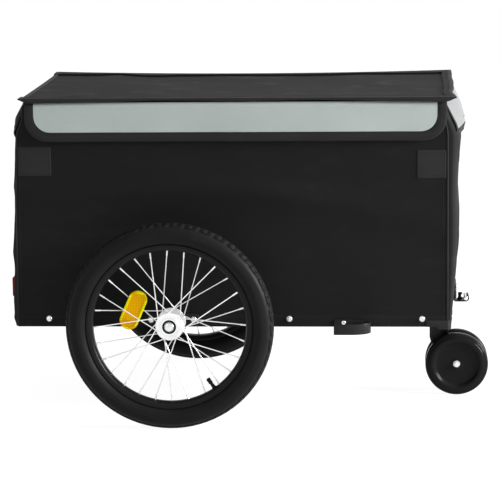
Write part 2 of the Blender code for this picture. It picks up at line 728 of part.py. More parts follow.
def side_flaps():
    """Flaps over the long sides, clear of the panels so that they swing past."""
    centre_x = fore((SIDE_FLAP_REAR + SIDE_FLAP_FRONT) / 2)
    half = (SIDE_FLAP_FRONT - SIDE_FLAP_REAR) / 2
    for side, name in ((-1, "right"), (1, "left")):
        def place(u, v, side=side):
            x = centre_x + u * (half + FLAP_TRIM)
            return Vector((x, side * (SIDE_FLAP_Y + FLAP_THICKNESS), flap_z(v)))
        flap_and_strip(name, place, (centre_x, side * SIDE_FLAP_Y, 0.0), half, FLAP_TOP)


def front_flap():
    """Front flap, leaning forward over the front panel's belly."""
    top_x = COVER_FRONT - COVER_PULL
    slope = math.tan(math.radians(FRONT_FLAP_LEAN))

    def place(u, v):
        z = flap_z(v)
        x = top_x + (FLAP_TOP - z) * slope
        return Vector((fore(x), u * (END_FLAP_HALF_WIDTH + FLAP_TRIM), z))
    flap_and_strip("front", place, (fore(top_x), 0.0, 0.0), END_FLAP_HALF_WIDTH, FLAP_TOP)


def rear_flap():
    """Rear flap, sewn to the rear panel under the cover's hinge."""
    stand_off = SEAT + FLAP_THICKNESS + REAR_BULGE / 2

    def place(u, v):
        z = flap_z(v)
        return Vector((fore(rear_x(z) - stand_off), -u * (END_FLAP_HALF_WIDTH + FLAP_TRIM), z))
    flap_and_strip("rear", place, (fore(COVER_REAR), 0.0, 0.0), END_FLAP_HALF_WIDTH,
                   FLAP_TOP - HINGE_GAP, rows=5)


def axle_brackets():
    """Steel plates outside the panels, each with the bush that carries an axle."""
    inner = BODY_SIDE + SEAT
    for side, name in ((-1, "right"), (1, "left")):
        loop = round_box_loop((-BRACKET_LENGTH / 2, -RAIL / 2), (BRACKET_LENGTH / 2, RAIL / 2),
                              (PLATE_CORNER,) * 4, 2)
        plate = flat_outline(f"axle_bracket_{name}", [loop], BRACKET_THICKNESS)
        plate.rotation_euler = (math.pi / 2, 0.0, 0.0)
        plate.location = (fore(0), side * (inner + BRACKET_THICKNESS / 2), AXLE_Z)
        bracket = as_mesh(plate, BLACK_STEEL)
        bush = rod(f"bush_{name}", (fore(0), side * (inner + JOIN), AXLE_Z),
                   (fore(0), side * BUSH_END, AXLE_Z), BUSH_RADIUS)
        boolean(bracket, bush, "UNION")
        bore = rod(f"bush_bore_{name}", (fore(0), side * (inner - RAIL), AXLE_Z),
                   (fore(0), side * WHEEL_Y, AXLE_Z), AXLE_RADIUS + SEAT)
        boolean(bracket, bore, "DIFFERENCE")
        shade_round(bracket)


def axle_pins():
    """Plug-in axles: a shaft from the side rail through the hub to a domed button."""
    inner = RAIL_SIDE - RAIL + SEAT
    face = WHEEL_Y + HUB_OUTER + SEAT
    dome = [(AXLE_BUTTON_RADIUS * math.cos(math.radians(t)),
             face + AXLE_BUTTON_HEIGHT * math.sin(math.radians(t))) for t in (0, 30, 60)]
    profile = [(0.0, face + AXLE_BUTTON_HEIGHT)] + dome[::-1]
    profile += [(AXLE_RADIUS, face), (AXLE_RADIUS, inner), (0.0, inner)]
    for side, name in ((-1, "right"), (1, "left")):
        pin = turned(f"axle_pin_{name}", profile, 20, BRIGHT_STEEL)
        along_y(pin, (fore(0), 0.0, AXLE_Z), side)


def tyre_profile():
    """Closed section of a tyre as (radius, side) points, bead to crown and back."""
    half = TYRE_WIDTH / 2
    bead = RIM_WIDTH / 2 - RIM_LIP - SEAT
    centre = WHEEL_RADIUS - half
    crown = arc((centre, 0.0), half, 112.5, -112.5, 9)
    low = RIM_SEAT_RADIUS + SEAT
    lip = RIM_OUTER_RADIUS + SEAT
    return [(low, bead), (lip, bead)] + crown + [(lip, -bead), (low, -bead)]


def wheels():
    """Both wheels: tyre, rim with valve, laced hub and reflector about one axis."""
    for side, name in ((-1, "right"), (1, "left")):
        centre = (fore(0), side * WHEEL_Y, AXLE_Z)
        tyre = turned(f"tyre_{name}", tyre_profile(), WHEEL_STEPS, TYRE_RUBBER, closed=True)
        along_y(tyre, centre)
        rim(name, centre)
        laced_hub(name, side, centre)
        wheel_reflector(name, side, centre)


def rim(name, centre):
    """Box-section rim with a well, two flanges and the valve stem fused to it."""
    half = RIM_WIDTH / 2
    well = half - RIM_LIP
    bed = half * RIM_BED
    shoulder = RIM_INNER_RADIUS + RIM_CHAMFER
    profile = [(RIM_OUTER_RADIUS, half), (RIM_OUTER_RADIUS, well), (RIM_SEAT_RADIUS, well),
               (RIM_SEAT_RADIUS, -well), (RIM_OUTER_RADIUS, -well), (RIM_OUTER_RADIUS, -half),
               (shoulder, JOIN - half), (RIM_INNER_RADIUS, -bed), (RIM_INNER_RADIUS, bed),
               (shoulder, half - JOIN)]
    hoop = turned(f"rim_{name}", profile, WHEEL_STEPS, BLACK_STEEL, closed=True)
    along_y(hoop, centre)
    angle = math.radians(VALVE_ANGLE)
    foot, tip = RIM_INNER_RADIUS + 2 * JOIN, RIM_INNER_RADIUS - VALVE_LENGTH
    stem = rod(f"valve_{name}", radial_point(centre, foot, angle, 0.0),
               radial_point(centre, tip, angle, 0.0), VALVE_RADIUS, sides=10)
    boolean(hoop, stem, "UNION")
    return hoop


def radial_point(centre, radius, angle, along):
    """A point at a radius and angle in the wheel's plane, offset along Y."""
    return (centre[0] + radius * math.cos(angle), centre[1] + along,
            centre[2] + radius * math.sin(angle))


def spoke_path(index, side):
    """One spoke's points as (radius, angle, along): out of the flange, an elbow, then straight.

    Odd spokes hang on the inner flange. On each flange every other spoke leads and
    the rest trail, lying on opposite faces so that they pass where they cross.
    """
    pitch = 2 * math.pi / SPOKES
    inner_flange = index % 2
    trailing = (index + 1) // 2 % 2 == 0
    hub_turn = SPOKE_CROSSINGS * 2 * math.pi / (SPOKES / 2)
    rim_angle = index * pitch + math.radians(SPOKE_PHASE)
    hole_angle = rim_angle + (hub_turn if trailing else -hub_turn)
    flange = FLANGE_OUTBOARD - FLANGE_SPACING * inner_flange
    face = 1 if trailing else -1
    clear = FLANGE_THICKNESS / 2 + SPOKE_RADIUS
    rim_along = -SPOKE_STAGGER if inner_flange else SPOKE_STAGGER
    return [(FLANGE_HOLE_RADIUS, hole_angle, side * flange),
            (FLANGE_HOLE_RADIUS, hole_angle, side * (flange + face * clear)),
            (NIPPLE_END_RADIUS, rim_angle, side * rim_along)]


def laced_hub(name, side, centre):
    """Turned hub with two flanges and every spoke laced into them as one body."""
    outer, inner = HUB_OUTER, -HUB_INNER
    flange_in = FLANGE_OUTBOARD - FLANGE_SPACING
    half = FLANGE_THICKNESS / 2
    bore = AXLE_RADIUS + RUN
    profile = [(bore, outer), (HUB_NOSE_RADIUS, outer), (HUB_NOSE_RADIUS, FLANGE_OUTBOARD + half),
               (FLANGE_RADIUS, FLANGE_OUTBOARD + half), (FLANGE_RADIUS, FLANGE_OUTBOARD - half),
               (HUB_BARREL_RADIUS, FLANGE_OUTBOARD - half - FLANGE_CONE),
               (HUB_BARREL_RADIUS, flange_in + half + FLANGE_CONE),
               (FLANGE_RADIUS, flange_in + half), (FLANGE_RADIUS, flange_in - half),
               (HUB_NOSE_RADIUS, flange_in - half), (HUB_NOSE_RADIUS, inner), (bore, inner)]
    hub = turned(f"hub_spokes_{name}", profile, 14, BRIGHT_STEEL, closed=True)
    along_y(hub, centre, side)
    bm = bmesh.new()
    for index in range(SPOKES):
        head, elbow, end = [Vector(radial_point(centre, *point)) for point in
                            spoke_path(index, side)]
        back = (elbow - end).normalized()
        grip = end + back * NIPPLE_LENGTH
        strand = wire(f"spoke_{index}", [head, elbow, grip + back * NIPPLE_RADIUS, grip, end],
                      SPOKE_RADIUS, 0)
        for point in strand.data.splines[0].points[-2:]:
            point.radius = NIPPLE_RADIUS / SPOKE_RADIUS
        spoke = as_mesh(strand)
        bm.from_mesh(spoke.data)
        bpy.data.objects.remove(spoke, do_unlink=True)
    bmesh.ops.recalc_face_normals(bm, faces=bm.faces)
    mesh = bpy.data.meshes.new(f"spokes_{name}")
    bm.to_mesh(mesh)
    bm.free()
    spokes = bpy.data.objects.new(f"spokes_{name}", mesh)
    return boolean(hub, spokes, "UNION")


def wheel_reflector(name, side, centre):
    """Oblong reflector clipped behind the outer flange's spokes."""
    half_width = WHEEL_REFLECTOR_WIDTH / 2
    straight = WHEEL_REFLECTOR_LENGTH / 2 - half_width
    loop = arc((0.0, straight), half_width, 0.0, 180.0, 10)
    loop += arc((0.0, -straight), half_width, 180.0, 360.0, 10)
    outline = flat_outline(f"wheel_reflector_{name}", [loop], WHEEL_REFLECTOR_DEPTH)
    lens = as_mesh(outline, AMBER_LENS)
    angle = math.radians(WHEEL_REFLECTOR_ANGLE)
    x = WHEEL_REFLECTOR_RADIUS * math.cos(angle)
    z = WHEEL_REFLECTOR_RADIUS * math.sin(angle)
    face = spoke_back_at(WHEEL_REFLECTOR_RADIUS + half_width) - SEAT
    lens.rotation_euler = (math.pi / 2, -angle, 0.0)
    lens.location = (centre[0] + x, centre[1] + side * (face - WHEEL_REFLECTOR_DEPTH / 2),
                     centre[2] + z)
    return soft_edge(lens)


def soft_edge(lens):
    """A small bevel round a lens."""
    soften = lens.modifiers.new("soft_edge", "BEVEL")
    soften.width = EDGE_BEVEL
    soften.segments = 1
    soften.limit_method = "ANGLE"
    return lens


def spoke_back_at(radius):
    """The inboard limit of the outer flange's spokes at a radius, along the axle."""
    share = (radius - FLANGE_HOLE_RADIUS) / (RIM_INNER_RADIUS - FLANGE_HOLE_RADIUS)
    low = FLANGE_OUTBOARD - FLANGE_THICKNESS / 2 - SPOKE_RADIUS
    return low * (1 - share) + SPOKE_STAGGER * share - SPOKE_RADIUS


def side_hooks():
    """U-shaped straps bolted to the side rails, open to the rear."""
    radius = (HOOK_REACH - HOOK_THICKNESS) / 2
    bend_x = HOOK_NOSE - radius - HOOK_THICKNESS / 2
    inner_y = BODY_SIDE + SEAT + HOOK_THICKNESS / 2
    turn = arc((bend_x, inner_y + radius), radius, -90.0, 90.0, 14)
    path = [(HOOK_REAR, inner_y)] + turn + [(HOOK_REAR, inner_y + 2 * radius)]
    for side, name in ((-1, "right"), (1, "left")):
        points = [(fore(x), -side * y) for x, y in path]
        strap = ribbon(f"side_hook_{name}", points, HOOK_HEIGHT, HOOK_THICKNESS, BLACK_STEEL)
        strap.rotation_euler = (math.pi / 2, 0.0, 0.0)
        strap.location.z = HOOK_BOTTOM + HOOK_HEIGHT / 2
        shade_round(strap)


def lug_bolt_z():
    """Height of the bolts that hold the lug to the front rail."""
    return BODY_BOTTOM + RAIL / 2 + LUG_BOLT_RISE


def lug_standoffs():
    """The Y of the two stand-offs behind the lug."""
    return (-LUG_STANDOFF_SPACING / 2, LUG_STANDOFF_SPACING / 2)


def lug_back_x():
    """The lug's rear face, just clear of the front panel's belly."""
    return front_surface_x(0.0, LUG_TOP) + SEAT


def drawbar_lug():
    """Bent bracket on the front rail: a leg, a foot and a curl round the cross pin."""
    back = lug_back_x()
    mid = back + LUG_THICKNESS / 2
    foot = LUG_FOOT + LUG_THICKNESS / 2
    curl = LUG_PIN_RADIUS + SEAT + LUG_THICKNESS / 2
    pin_z = foot + curl
    path = [(mid, LUG_TOP)]
    path += arc((mid + LUG_BEND, foot + LUG_BEND), LUG_BEND, 180.0, 270.0, 4)
    path += arc((LUG_PIN_X, pin_z), curl, -90.0, 60.0, 8)
    lug = ribbon("drawbar_lug", [(fore(x), z) for x, z in path], LUG_WIDTH, LUG_THICKNESS, BLACK_STEEL)
    for y in lug_standoffs():
        post = rod(f"standoff_{y:.3f}", (fore(RAIL_FRONT + SEAT), y, lug_bolt_z()),
                   (fore(mid), y, lug_bolt_z()), LUG_STANDOFF_RADIUS)
        boolean(lug, post, "UNION")
    buffer_x = (back + LUG_THICKNESS + LUG_PIN_X - curl) / 2
    waist = LUG_BUFFER_RADIUS * LUG_BUFFER_WAIST
    cap = LUG_BUFFER_HEIGHT - 2 * JOIN
    profile = [(0.0, LUG_BUFFER_HEIGHT), (LUG_BUFFER_RADIUS, LUG_BUFFER_HEIGHT),
               (LUG_BUFFER_RADIUS, cap), (waist, cap * 0.65), (waist, cap * 0.45),
               (LUG_BUFFER_RADIUS, -JOIN), (0.0, -JOIN)]
    spool = turned("lug_buffer", profile, 20)
    spool.location = (fore(buffer_x), 0.0, foot + LUG_THICKNESS / 2)
    boolean(lug, spool, "UNION")
    shade_round(lug)
    rod("lug_pin", (fore(LUG_PIN_X), -LUG_PIN_LENGTH / 2, pin_z),
        (fore(LUG_PIN_X), LUG_PIN_LENGTH / 2, pin_z), LUG_PIN_RADIUS, BRIGHT_STEEL)
    return lug


def reflectors():
    """White reflectors on the front panel and red ones on the rear panel."""
    half_width, half_height = REFLECTOR_WIDTH / 2, REFLECTOR_HEIGHT / 2
    for side, name in ((-1, "right"), (1, "left")):
        ends = (("front", 1, FRONT_REFLECTOR_Z, WHITE_LENS), ("rear", -1, REAR_REFLECTOR_Z, RED_LENS))
        for end, way, z, finish in ends:
            loop = round_box_loop((-half_width, -half_height), (half_width, half_height),
                                  (PLATE_CORNER,) * 4, 2)
            outline = flat_outline(f"{end}_reflector_{name}", [loop], REFLECTOR_DEPTH)
            lens = as_mesh(outline, finish)
            lens.rotation_euler = (math.pi / 2, 0.0, math.pi / 2)
            seat = reflector_seat(end, z) + way * (SEAT + REFLECTOR_DEPTH / 2)
            lens.location = (fore(seat), side * REFLECTOR_Y, z)
            soft_edge(lens)


def castor():
    """Swivel castor with twin wheels: plate and race, leg, and the wheel pair."""
    plate_top = BODY_BOTTOM - SEAT
    plate_low = plate_top - CASTOR_PLATE_THICKNESS
    half_length, half_width = CASTOR_PLATE_LENGTH / 2, CASTOR_PLATE_WIDTH / 2
    loop = round_box_loop((-half_length, -half_width), (half_length, half_width),
                          (PLATE_CORNER,) * 4)
    outline = flat_outline("castor_plate", [loop], CASTOR_PLATE_THICKNESS)
    outline.location = (fore(SWIVEL_X), 0.0, plate_top - CASTOR_PLATE_THICKNESS / 2)
    plate = as_mesh(outline, BLACK_STEEL)
    race_low = plate_low - CASTOR_RACE_HEIGHT
    race = rod("castor_race", (fore(SWIVEL_X), 0.0, plate_low + JOIN),
               (fore(SWIVEL_X), 0.0, race_low), CASTOR_RACE_RADIUS, sides=28)
    boolean(plate, race, "UNION")
    shade_round(plate)
    castor_leg(race_low)
    castor_wheels()


def castor_leg(race_low):
    """Cast leg: a swivel cap over a web that sweeps forward to the axle eye."""
    cap_top = race_low - RUN
    cap_low = cap_top - CASTOR_CAP_HEIGHT
    neck = cap_low + JOIN
    rear = SWIVEL_X - CASTOR_NECK_HALF
    front = SWIVEL_X + CASTOR_NECK_HALF
    loop = arc((CASTOR_X, CASTOR_RADIUS), CASTOR_EYE_RADIUS, 0.0, -140.0, 9)
    loop += [(rear + PLATE_CORNER, CASTOR_RADIUS * 1.47), (rear, CASTOR_RADIUS * 1.82),
             (rear, neck), (front, neck), (front + PLATE_CORNER, CASTOR_RADIUS * 1.87)]
    outline = flat_outline("castor_leg", [[(x - SWIVEL_X, z) for x, z in loop]],
                           CASTOR_LEG_WIDTH)
    outline.rotation_euler = (math.pi / 2, 0.0, 0.0)
    outline.location = (fore(SWIVEL_X), 0.0, 0.0)
    leg = as_mesh(outline, BLACK_PLASTIC)
    cap = rod("castor_cap", (fore(SWIVEL_X), 0.0, cap_low), (fore(SWIVEL_X), 0.0, cap_top),
              CASTOR_RACE_RADIUS, sides=28)
    boolean(leg, cap, "UNION")
    eye = rod("castor_eye", (fore(CASTOR_X), -CASTOR_LEG_WIDTH, CASTOR_RADIUS),
              (fore(CASTOR_X), CASTOR_LEG_WIDTH, CASTOR_RADIUS), CASTOR_AXLE_RADIUS + RUN)
    boolean(leg, eye, "DIFFERENCE")
    return shade_round(leg)


def castor_wheels():
    """Twin wheels and their axle sleeve, turned as one body with dished outer faces."""
    half = CASTOR_WIDTH / 2
    inner = CASTOR_LEG_WIDTH / 2 + CASTOR_LEG_GAP
    r = CASTOR_RADIUS
    one_side = [(0.0, half - CASTOR_DISH), (r * 0.66, half - CASTOR_DISH), (r * 0.78, half),
                (r * 0.90, half), (r * 0.97, half - CASTOR_DISH / 2), (r, half * 0.75),
                (r, inner + CASTOR_DISH), (r * 0.95, inner), (CASTOR_EYE_RADIUS, inner),
                (CASTOR_AXLE_RADIUS, CASTOR_LEG_WIDTH / 2 + RUN)]
    profile = one_side + [(x, -y) for x, y in reversed(one_side)]
    pair = turned("castor_wheels", profile, 28, BLACK_PLASTIC)
    return along_y(pair, (fore(CASTOR_X), 0.0, CASTOR_RADIUS))


def main():
    """Build every piece of the trailer."""
    clear_scene()
    base_frame()
    floor_board()
    posts()
    top_frame()
    side_panels()
    front_panel()
    rear_panel()
    cover_top()
    side_flaps()
    front_flap()
    rear_flap()
    axle_brackets()
    axle_pins()
    wheels()
    side_hooks()
    drawbar_lug()
    reflectors()
    castor()


main()
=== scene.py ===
"""Looks for a bicycle cargo trailer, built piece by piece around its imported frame.

Every sub-assembly is a class that takes its sizes from the frame, models its pieces with
Blender's own operators and dresses them in procedural finishes.
"""

from __future__ import annotations

import json
import logging
import math
from contextlib import contextmanager
from dataclasses import dataclass, field
from enum import Enum
from typing import Callable, Iterator, Sequence

import bmesh
import bpy
import numpy as np
from mathutils import Matrix, Vector

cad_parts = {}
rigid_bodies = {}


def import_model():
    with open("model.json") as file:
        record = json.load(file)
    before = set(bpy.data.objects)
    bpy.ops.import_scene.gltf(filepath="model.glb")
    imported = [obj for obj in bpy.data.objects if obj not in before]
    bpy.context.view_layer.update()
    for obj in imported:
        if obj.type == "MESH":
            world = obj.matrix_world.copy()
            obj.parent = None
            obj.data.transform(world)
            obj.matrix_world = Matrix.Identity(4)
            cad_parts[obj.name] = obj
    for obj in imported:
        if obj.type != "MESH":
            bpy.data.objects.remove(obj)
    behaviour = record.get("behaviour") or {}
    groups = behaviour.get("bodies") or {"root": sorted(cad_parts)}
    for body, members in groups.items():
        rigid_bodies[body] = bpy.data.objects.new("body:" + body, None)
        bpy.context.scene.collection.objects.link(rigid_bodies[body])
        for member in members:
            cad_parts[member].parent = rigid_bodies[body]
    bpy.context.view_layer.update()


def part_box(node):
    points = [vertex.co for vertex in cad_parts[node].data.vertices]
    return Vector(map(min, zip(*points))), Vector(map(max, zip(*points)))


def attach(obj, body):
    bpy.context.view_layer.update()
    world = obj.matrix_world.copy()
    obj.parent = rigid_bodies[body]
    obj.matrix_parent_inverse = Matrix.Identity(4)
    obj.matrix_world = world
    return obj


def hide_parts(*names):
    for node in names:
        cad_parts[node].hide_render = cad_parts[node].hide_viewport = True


LOG = logging.getLogger("trailer")
MERGE = 1e-6            # metres: points closer than this are one point
HAIR = 0.0004           # metres: the gap at which two touching pieces are kept apart
CROSS_RAIL = 0.262      # metres forward of the axle: the frame's front cross rail
SIDES = ((-1, "right"), (1, "left"))
UP = Vector((0, 0, 1))
AHEAD = Vector((1, 0, 0))

for _left_over in list(bpy.data.objects):
    bpy.data.objects.remove(_left_over)
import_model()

Pair = tuple[float, float]
Point = tuple[float, float, float]
Colour = tuple[float, float, float]


# Shader maths


class Term:
    """A number, worked out at each point of a surface, that Python operators work on."""

    def __init__(self, graph: "Graph", socket: bpy.types.NodeSocket) -> None:
        """Wrap a socket.

        Args:
            graph: The material that the socket's node is in.
            socket: The output that carries the number.
        """
        self.graph = graph
        self.socket = socket

    def _math(self, operation: str, *values: "Term | float") -> "Term":
        """Add a Math node on this number and others."""
        made = self.graph.node("ShaderNodeMath", {"operation": operation},
                               dict(enumerate(values)))
        return Term(self.graph, made.outputs[0])

    def __add__(self, other: "Term | float") -> "Term":
        """Add."""
        return self._math("ADD", self, other)

    __radd__ = __add__

    def __mul__(self, other: "Term | float") -> "Term":
        """Multiply."""
        return self._math("MULTIPLY", self, other)

    __rmul__ = __mul__

    def __sub__(self, other: "Term | float") -> "Term":
        """Subtract."""
        return self._math("SUBTRACT", self, other)

    def sine(self) -> "Term":
        """The sine of an angle in radians."""
        return self._math("SINE", self)

    def size(self) -> "Term":
        """The number without its sign."""
        return self._math("ABSOLUTE", self)

    def least(self, other: "Term | float") -> "Term":
        """The smaller of two."""
        return self._math("MINIMUM", self, other)

    def most(self, other: "Term | float") -> "Term":
        """The greater of two."""
        return self._math("MAXIMUM", self, other)

    def ramp(self, low: float, high: float) -> "Term":
        """Rise smoothly from 0 to 1 between two values.

        Args:
            low: The value at which the result is 0.
            high: The value at which the result is 1.

        Returns:
            The smooth step.
        """
        made = self.graph.node("ShaderNodeMapRange", {"interpolation_type": "SMOOTHSTEP"},
                               {"Value": self, "From Min": low, "From Max": high})
        return Term(self.graph, made.outputs["Result"])


class Graph:
    """The nodes of one material, or of the world, written as expressions."""

    def __init__(self, owner: str | bpy.types.World) -> None:
        """Make an empty node tree.

        Args:
            owner: A new material's name, or the world.
        """
        named = isinstance(owner, str)
        self.owner = bpy.data.materials.new(owner) if named else owner
        self.owner.use_nodes = True
        self.tree = self.owner.node_tree
        self.tree.nodes.clear()
        self.output = self.node(f"ShaderNodeOutput{'Material' if named else 'World'}")
        self.coordinates = self.node("ShaderNodeTexCoord")

    def node(self, kind: str, settings: dict | None = None,
             inputs: dict | None = None) -> bpy.types.Node:
        """Add a node.

        Args:
            kind: The node's type.
            settings: Its properties, set first.
            inputs: Values or links of its sockets, by name or number.

        Returns:
            The node.
        """
        made = self.tree.nodes.new(kind)
        for key, value in (settings or {}).items():
            setattr(made, key, value)
        for key, value in (inputs or {}).items():
            if isinstance(value, Term):
                value = value.socket
            if isinstance(value, bpy.types.NodeSocket):
                self.tree.links.new(value, made.inputs[key])
            else:
                made.inputs[key].default_value = value
        return made

    def place(self, scale: Point = (1.0, 1.0, 1.0), shift: Point = (0.0, 0.0, 0.0),
              source: str = "Object") -> bpy.types.NodeSocket:
        """Coordinates, moved and scaled.

        Args:
            scale: The factor along each axis.
            shift: What is added to each axis first, in metres.
            source: Which of the texture coordinates to read.

        Returns:
            The vector.
        """
        moved = self.node("ShaderNodeVectorMath", {"operation": "ADD"},
                          {0: self.coordinates.outputs[source], 1: shift})
        scaled = self.node("ShaderNodeVectorMath", {"operation": "MULTIPLY"},
                           {0: moved.outputs[0], 1: scale})
        return scaled.outputs[0]

    def axes(self, vector: bpy.types.NodeSocket) -> tuple[Term, Term, Term]:
        """A vector's three numbers."""
        made = self.node("ShaderNodeSeparateXYZ", None, {0: vector})
        return tuple(Term(self, made.outputs[i]) for i in range(3))

    def noise(self, vector: bpy.types.NodeSocket, scale: float, detail: float = 3.0,
              rough: float = 0.5) -> Term:
        """Smooth noise from 0 to 1.

        Args:
            vector: Where to read it.
            scale: Its features per metre.
            detail: How many finer layers it has.
            rough: How strong the finer layers are.

        Returns:
            The noise.
        """
        made = self.node("ShaderNodeTexNoise", None,
                         {"Vector": vector, "Scale": scale, "Detail": detail, "Roughness": rough})
        return Term(self, made.outputs[0])

    def blend(self, share: "Term | float", first: Colour, second: Colour) -> bpy.types.NodeSocket:
        """A colour between two.

        Args:
            share: 0 for the first and 1 for the second.
            first: A linear colour.
            second: A linear colour.

        Returns:
            The mixed colour.
        """
        made = self.node("ShaderNodeMix", {"data_type": "RGBA"},
                         {0: share, 6: (*first, 1.0), 7: (*second, 1.0)})
        return made.outputs[2]

    def bump(self, height: Term, distance: float, strength: float = 1.0) -> bpy.types.NodeSocket:
        """A normal that follows a height.

        Args:
            height: From 0 to 1.
            distance: The relief at a height of 1, in metres.
            strength: How strongly it shows.

        Returns:
            The normal.
        """
        made = self.node("ShaderNodeBump", None,
                         {"Height": height, "Distance": distance, "Strength": strength})
        return made.outputs[0]

    def surface(self, **inputs: object) -> bpy.types.Material:
        """Close the material with a Principled shader.

        Args:
            inputs: Socket values or links, with spaces written as underscores.

        Returns:
            The material.
        """
        named = {key.replace("_", " "): value for key, value in inputs.items()}
        shader = self.node("ShaderNodeBsdfPrincipled", None, named)
        self.tree.links.new(shader.outputs[0], self.output.inputs[0])
        return self.owner

    def background(self, lit: bpy.types.Node, shown: bpy.types.Node) -> None:
        """Close the tree with a shader for the light and one for rays that see the background.

        Args:
            lit: The shader that lights the trailer.
            shown: The shader that the camera sees, also through glass and in metal.
        """
        rays = self.node("ShaderNodeLightPath")
        camera, glossy, through = (Term(self, rays.outputs[f"Is {kind} Ray"])
                                   for kind in ("Camera", "Glossy", "Transmission"))
        mix = self.node("ShaderNodeMixShader", None, {
            0: camera.most(glossy).most(through), 1: lit.outputs[0], 2: shown.outputs[0]})
        self.tree.links.new(mix.outputs[0], self.output.inputs["Surface"])


def shade(colour: Colour, factor: float) -> Colour:
    """A colour made lighter or darker by a factor."""
    return tuple(min(1.0, channel * factor) for channel in colour)


# Finishes


@dataclass(frozen=True)
class Cloth:
    """Coated woven cloth with a fine plain weave, laid along the piece's own UV map."""

    name: str
    colour: Colour
    pitch: float = 0.0011       # metres between threads
    relief: float = 0.00005
    roughness: float = 0.70
    wear: float = 1.35          # how much lighter the rubbed patches are
    shine: float = 0.10

    def make(self) -> bpy.types.Material:
        """Build the material."""
        graph = Graph(self.name)
        turn = 2 * math.pi / self.pitch
        across, along, _ = graph.axes(graph.place((turn, turn, turn), source="UV"))
        weave = across.sine() * along.sine() * 0.5 + 0.5
        threads = graph.noise(graph.place((1.0, 1.0, 1.0), source="UV"), 900.0, 2.0)
        cloudy = graph.noise(graph.place(), 6.0, 3.0)
        rubbed = graph.noise(graph.place((1.0, 1.0, 2.5)), 18.0, 4.0).ramp(0.50, 0.80)
        share = (cloudy * 0.5 + rubbed * 0.35 + weave * threads * 0.35).least(1.0)
        colour = graph.blend(share, shade(self.colour, 0.82), shade(self.colour, self.wear))
        rough = rubbed * -0.10 + cloudy * 0.12 + (self.roughness - 0.05)
        height = weave * 0.8 + threads * 0.2
        return graph.surface(Base_Color=colour, Roughness=rough, Specular_IOR_Level=self.shine,
                             Normal=graph.bump(height, self.relief, 0.7))


@dataclass(frozen=True)
class Tape:
    """Reflective tape: fine printed lattice under a clear face, with handling marks."""

    name: str
    colour: Colour
    cell: float = 0.0030

    def make(self) -> bpy.types.Material:
        """Build the material."""
        graph = Graph(self.name)
        step = 2 * math.pi / self.cell
        across, along, _ = graph.axes(graph.place((step, step, step), source="UV"))
        lattice = ((across + along).sine().size() * (across - along).sine().size()).ramp(0.0, 0.35)
        cloudy = graph.noise(graph.place(), 9.0, 3.0)
        scuffs = graph.noise(graph.place((1.0, 1.0, 5.0)), 60.0, 4.0).ramp(0.58, 0.75)
        share = (lattice * 0.30 + cloudy * 0.55 - scuffs * 0.25).most(0.0)
        colour = graph.blend(share, shade(self.colour, 0.86), shade(self.colour, 1.10))
        return graph.surface(Base_Color=colour, Roughness=scuffs * 0.2 + 0.42,
                             Normal=graph.bump(lattice, 0.00003, 0.5))


@dataclass(frozen=True)
class Rubber:
    """Tyre rubber with a dusty bloom and faint moulding lines round the sidewall."""

    name: str
    colour: Colour
    roughness: float = 0.42
    shine: float = 0.22

    def make(self) -> bpy.types.Material:
        """Build the material."""
        graph = Graph(self.name)
        bloom = graph.noise(graph.place(), 14.0, 4.0)
        grain = graph.noise(graph.place(), 900.0, 2.0)
        dust = graph.noise(graph.place(), 55.0, 5.0, 0.6).ramp(0.52, 0.78)
        colour = graph.blend((bloom * 0.6 + dust * 0.4).least(1.0), shade(self.colour, 0.8),
                             shade(self.colour, 1.8))
        rough = bloom * 0.14 + dust * 0.12 + (self.roughness - 0.08)
        return graph.surface(Base_Color=colour, Roughness=rough, Specular_IOR_Level=self.shine,
                             Normal=graph.bump(grain, 0.00006, 0.5))


@dataclass(frozen=True)
class PowderCoat:
    """Powder-coated steel: a satin face with orange peel and rubbed edges."""

    name: str
    colour: Colour
    roughness: float = 0.36

    def make(self) -> bpy.types.Material:
        """Build the material."""
        graph = Graph(self.name)
        peel = graph.noise(graph.place(), 520.0, 2.0)
        cloudy = graph.noise(graph.place(), 20.0, 4.0)
        scratches = graph.noise(graph.place((1.0, 9.0, 1.0)), 130.0, 3.0).ramp(0.66, 0.74)
        colour = graph.blend((cloudy * 0.4 + scratches * 0.6).least(1.0),
                             shade(self.colour, 0.85), shade(self.colour, 2.2))
        rough = cloudy * 0.14 + scratches * 0.15 + (self.roughness - 0.07)
        return graph.surface(Base_Color=colour, Roughness=rough, Specular_IOR_Level=0.10,
                             Normal=graph.bump(peel, 0.00010, 0.45))


@dataclass(frozen=True)
class BrightMetal:
    """Bright plated or turned metal with fine tool marks and dull spots."""

    name: str
    colour: Colour
    roughness: float = 0.24
    mark_scale: Point = (400.0, 900.0, 400.0)

    def make(self) -> bpy.types.Material:
        """Build the material."""
        graph = Graph(self.name)
        marks = graph.noise(graph.place(self.mark_scale), 1.0, 2.0)
        dull = graph.noise(graph.place(), 45.0, 4.0).ramp(0.45, 0.75)
        colour = graph.blend((marks * 0.4 + dull * 0.4).least(1.0), self.colour,
                             shade(self.colour, 0.80))
        rough = marks * 0.08 + dull * 0.14 + (self.roughness - 0.05)
        return graph.surface(Base_Color=colour, Roughness=rough, Metallic=1.0,
                             Normal=graph.bump(marks, 0.00002, 0.35))


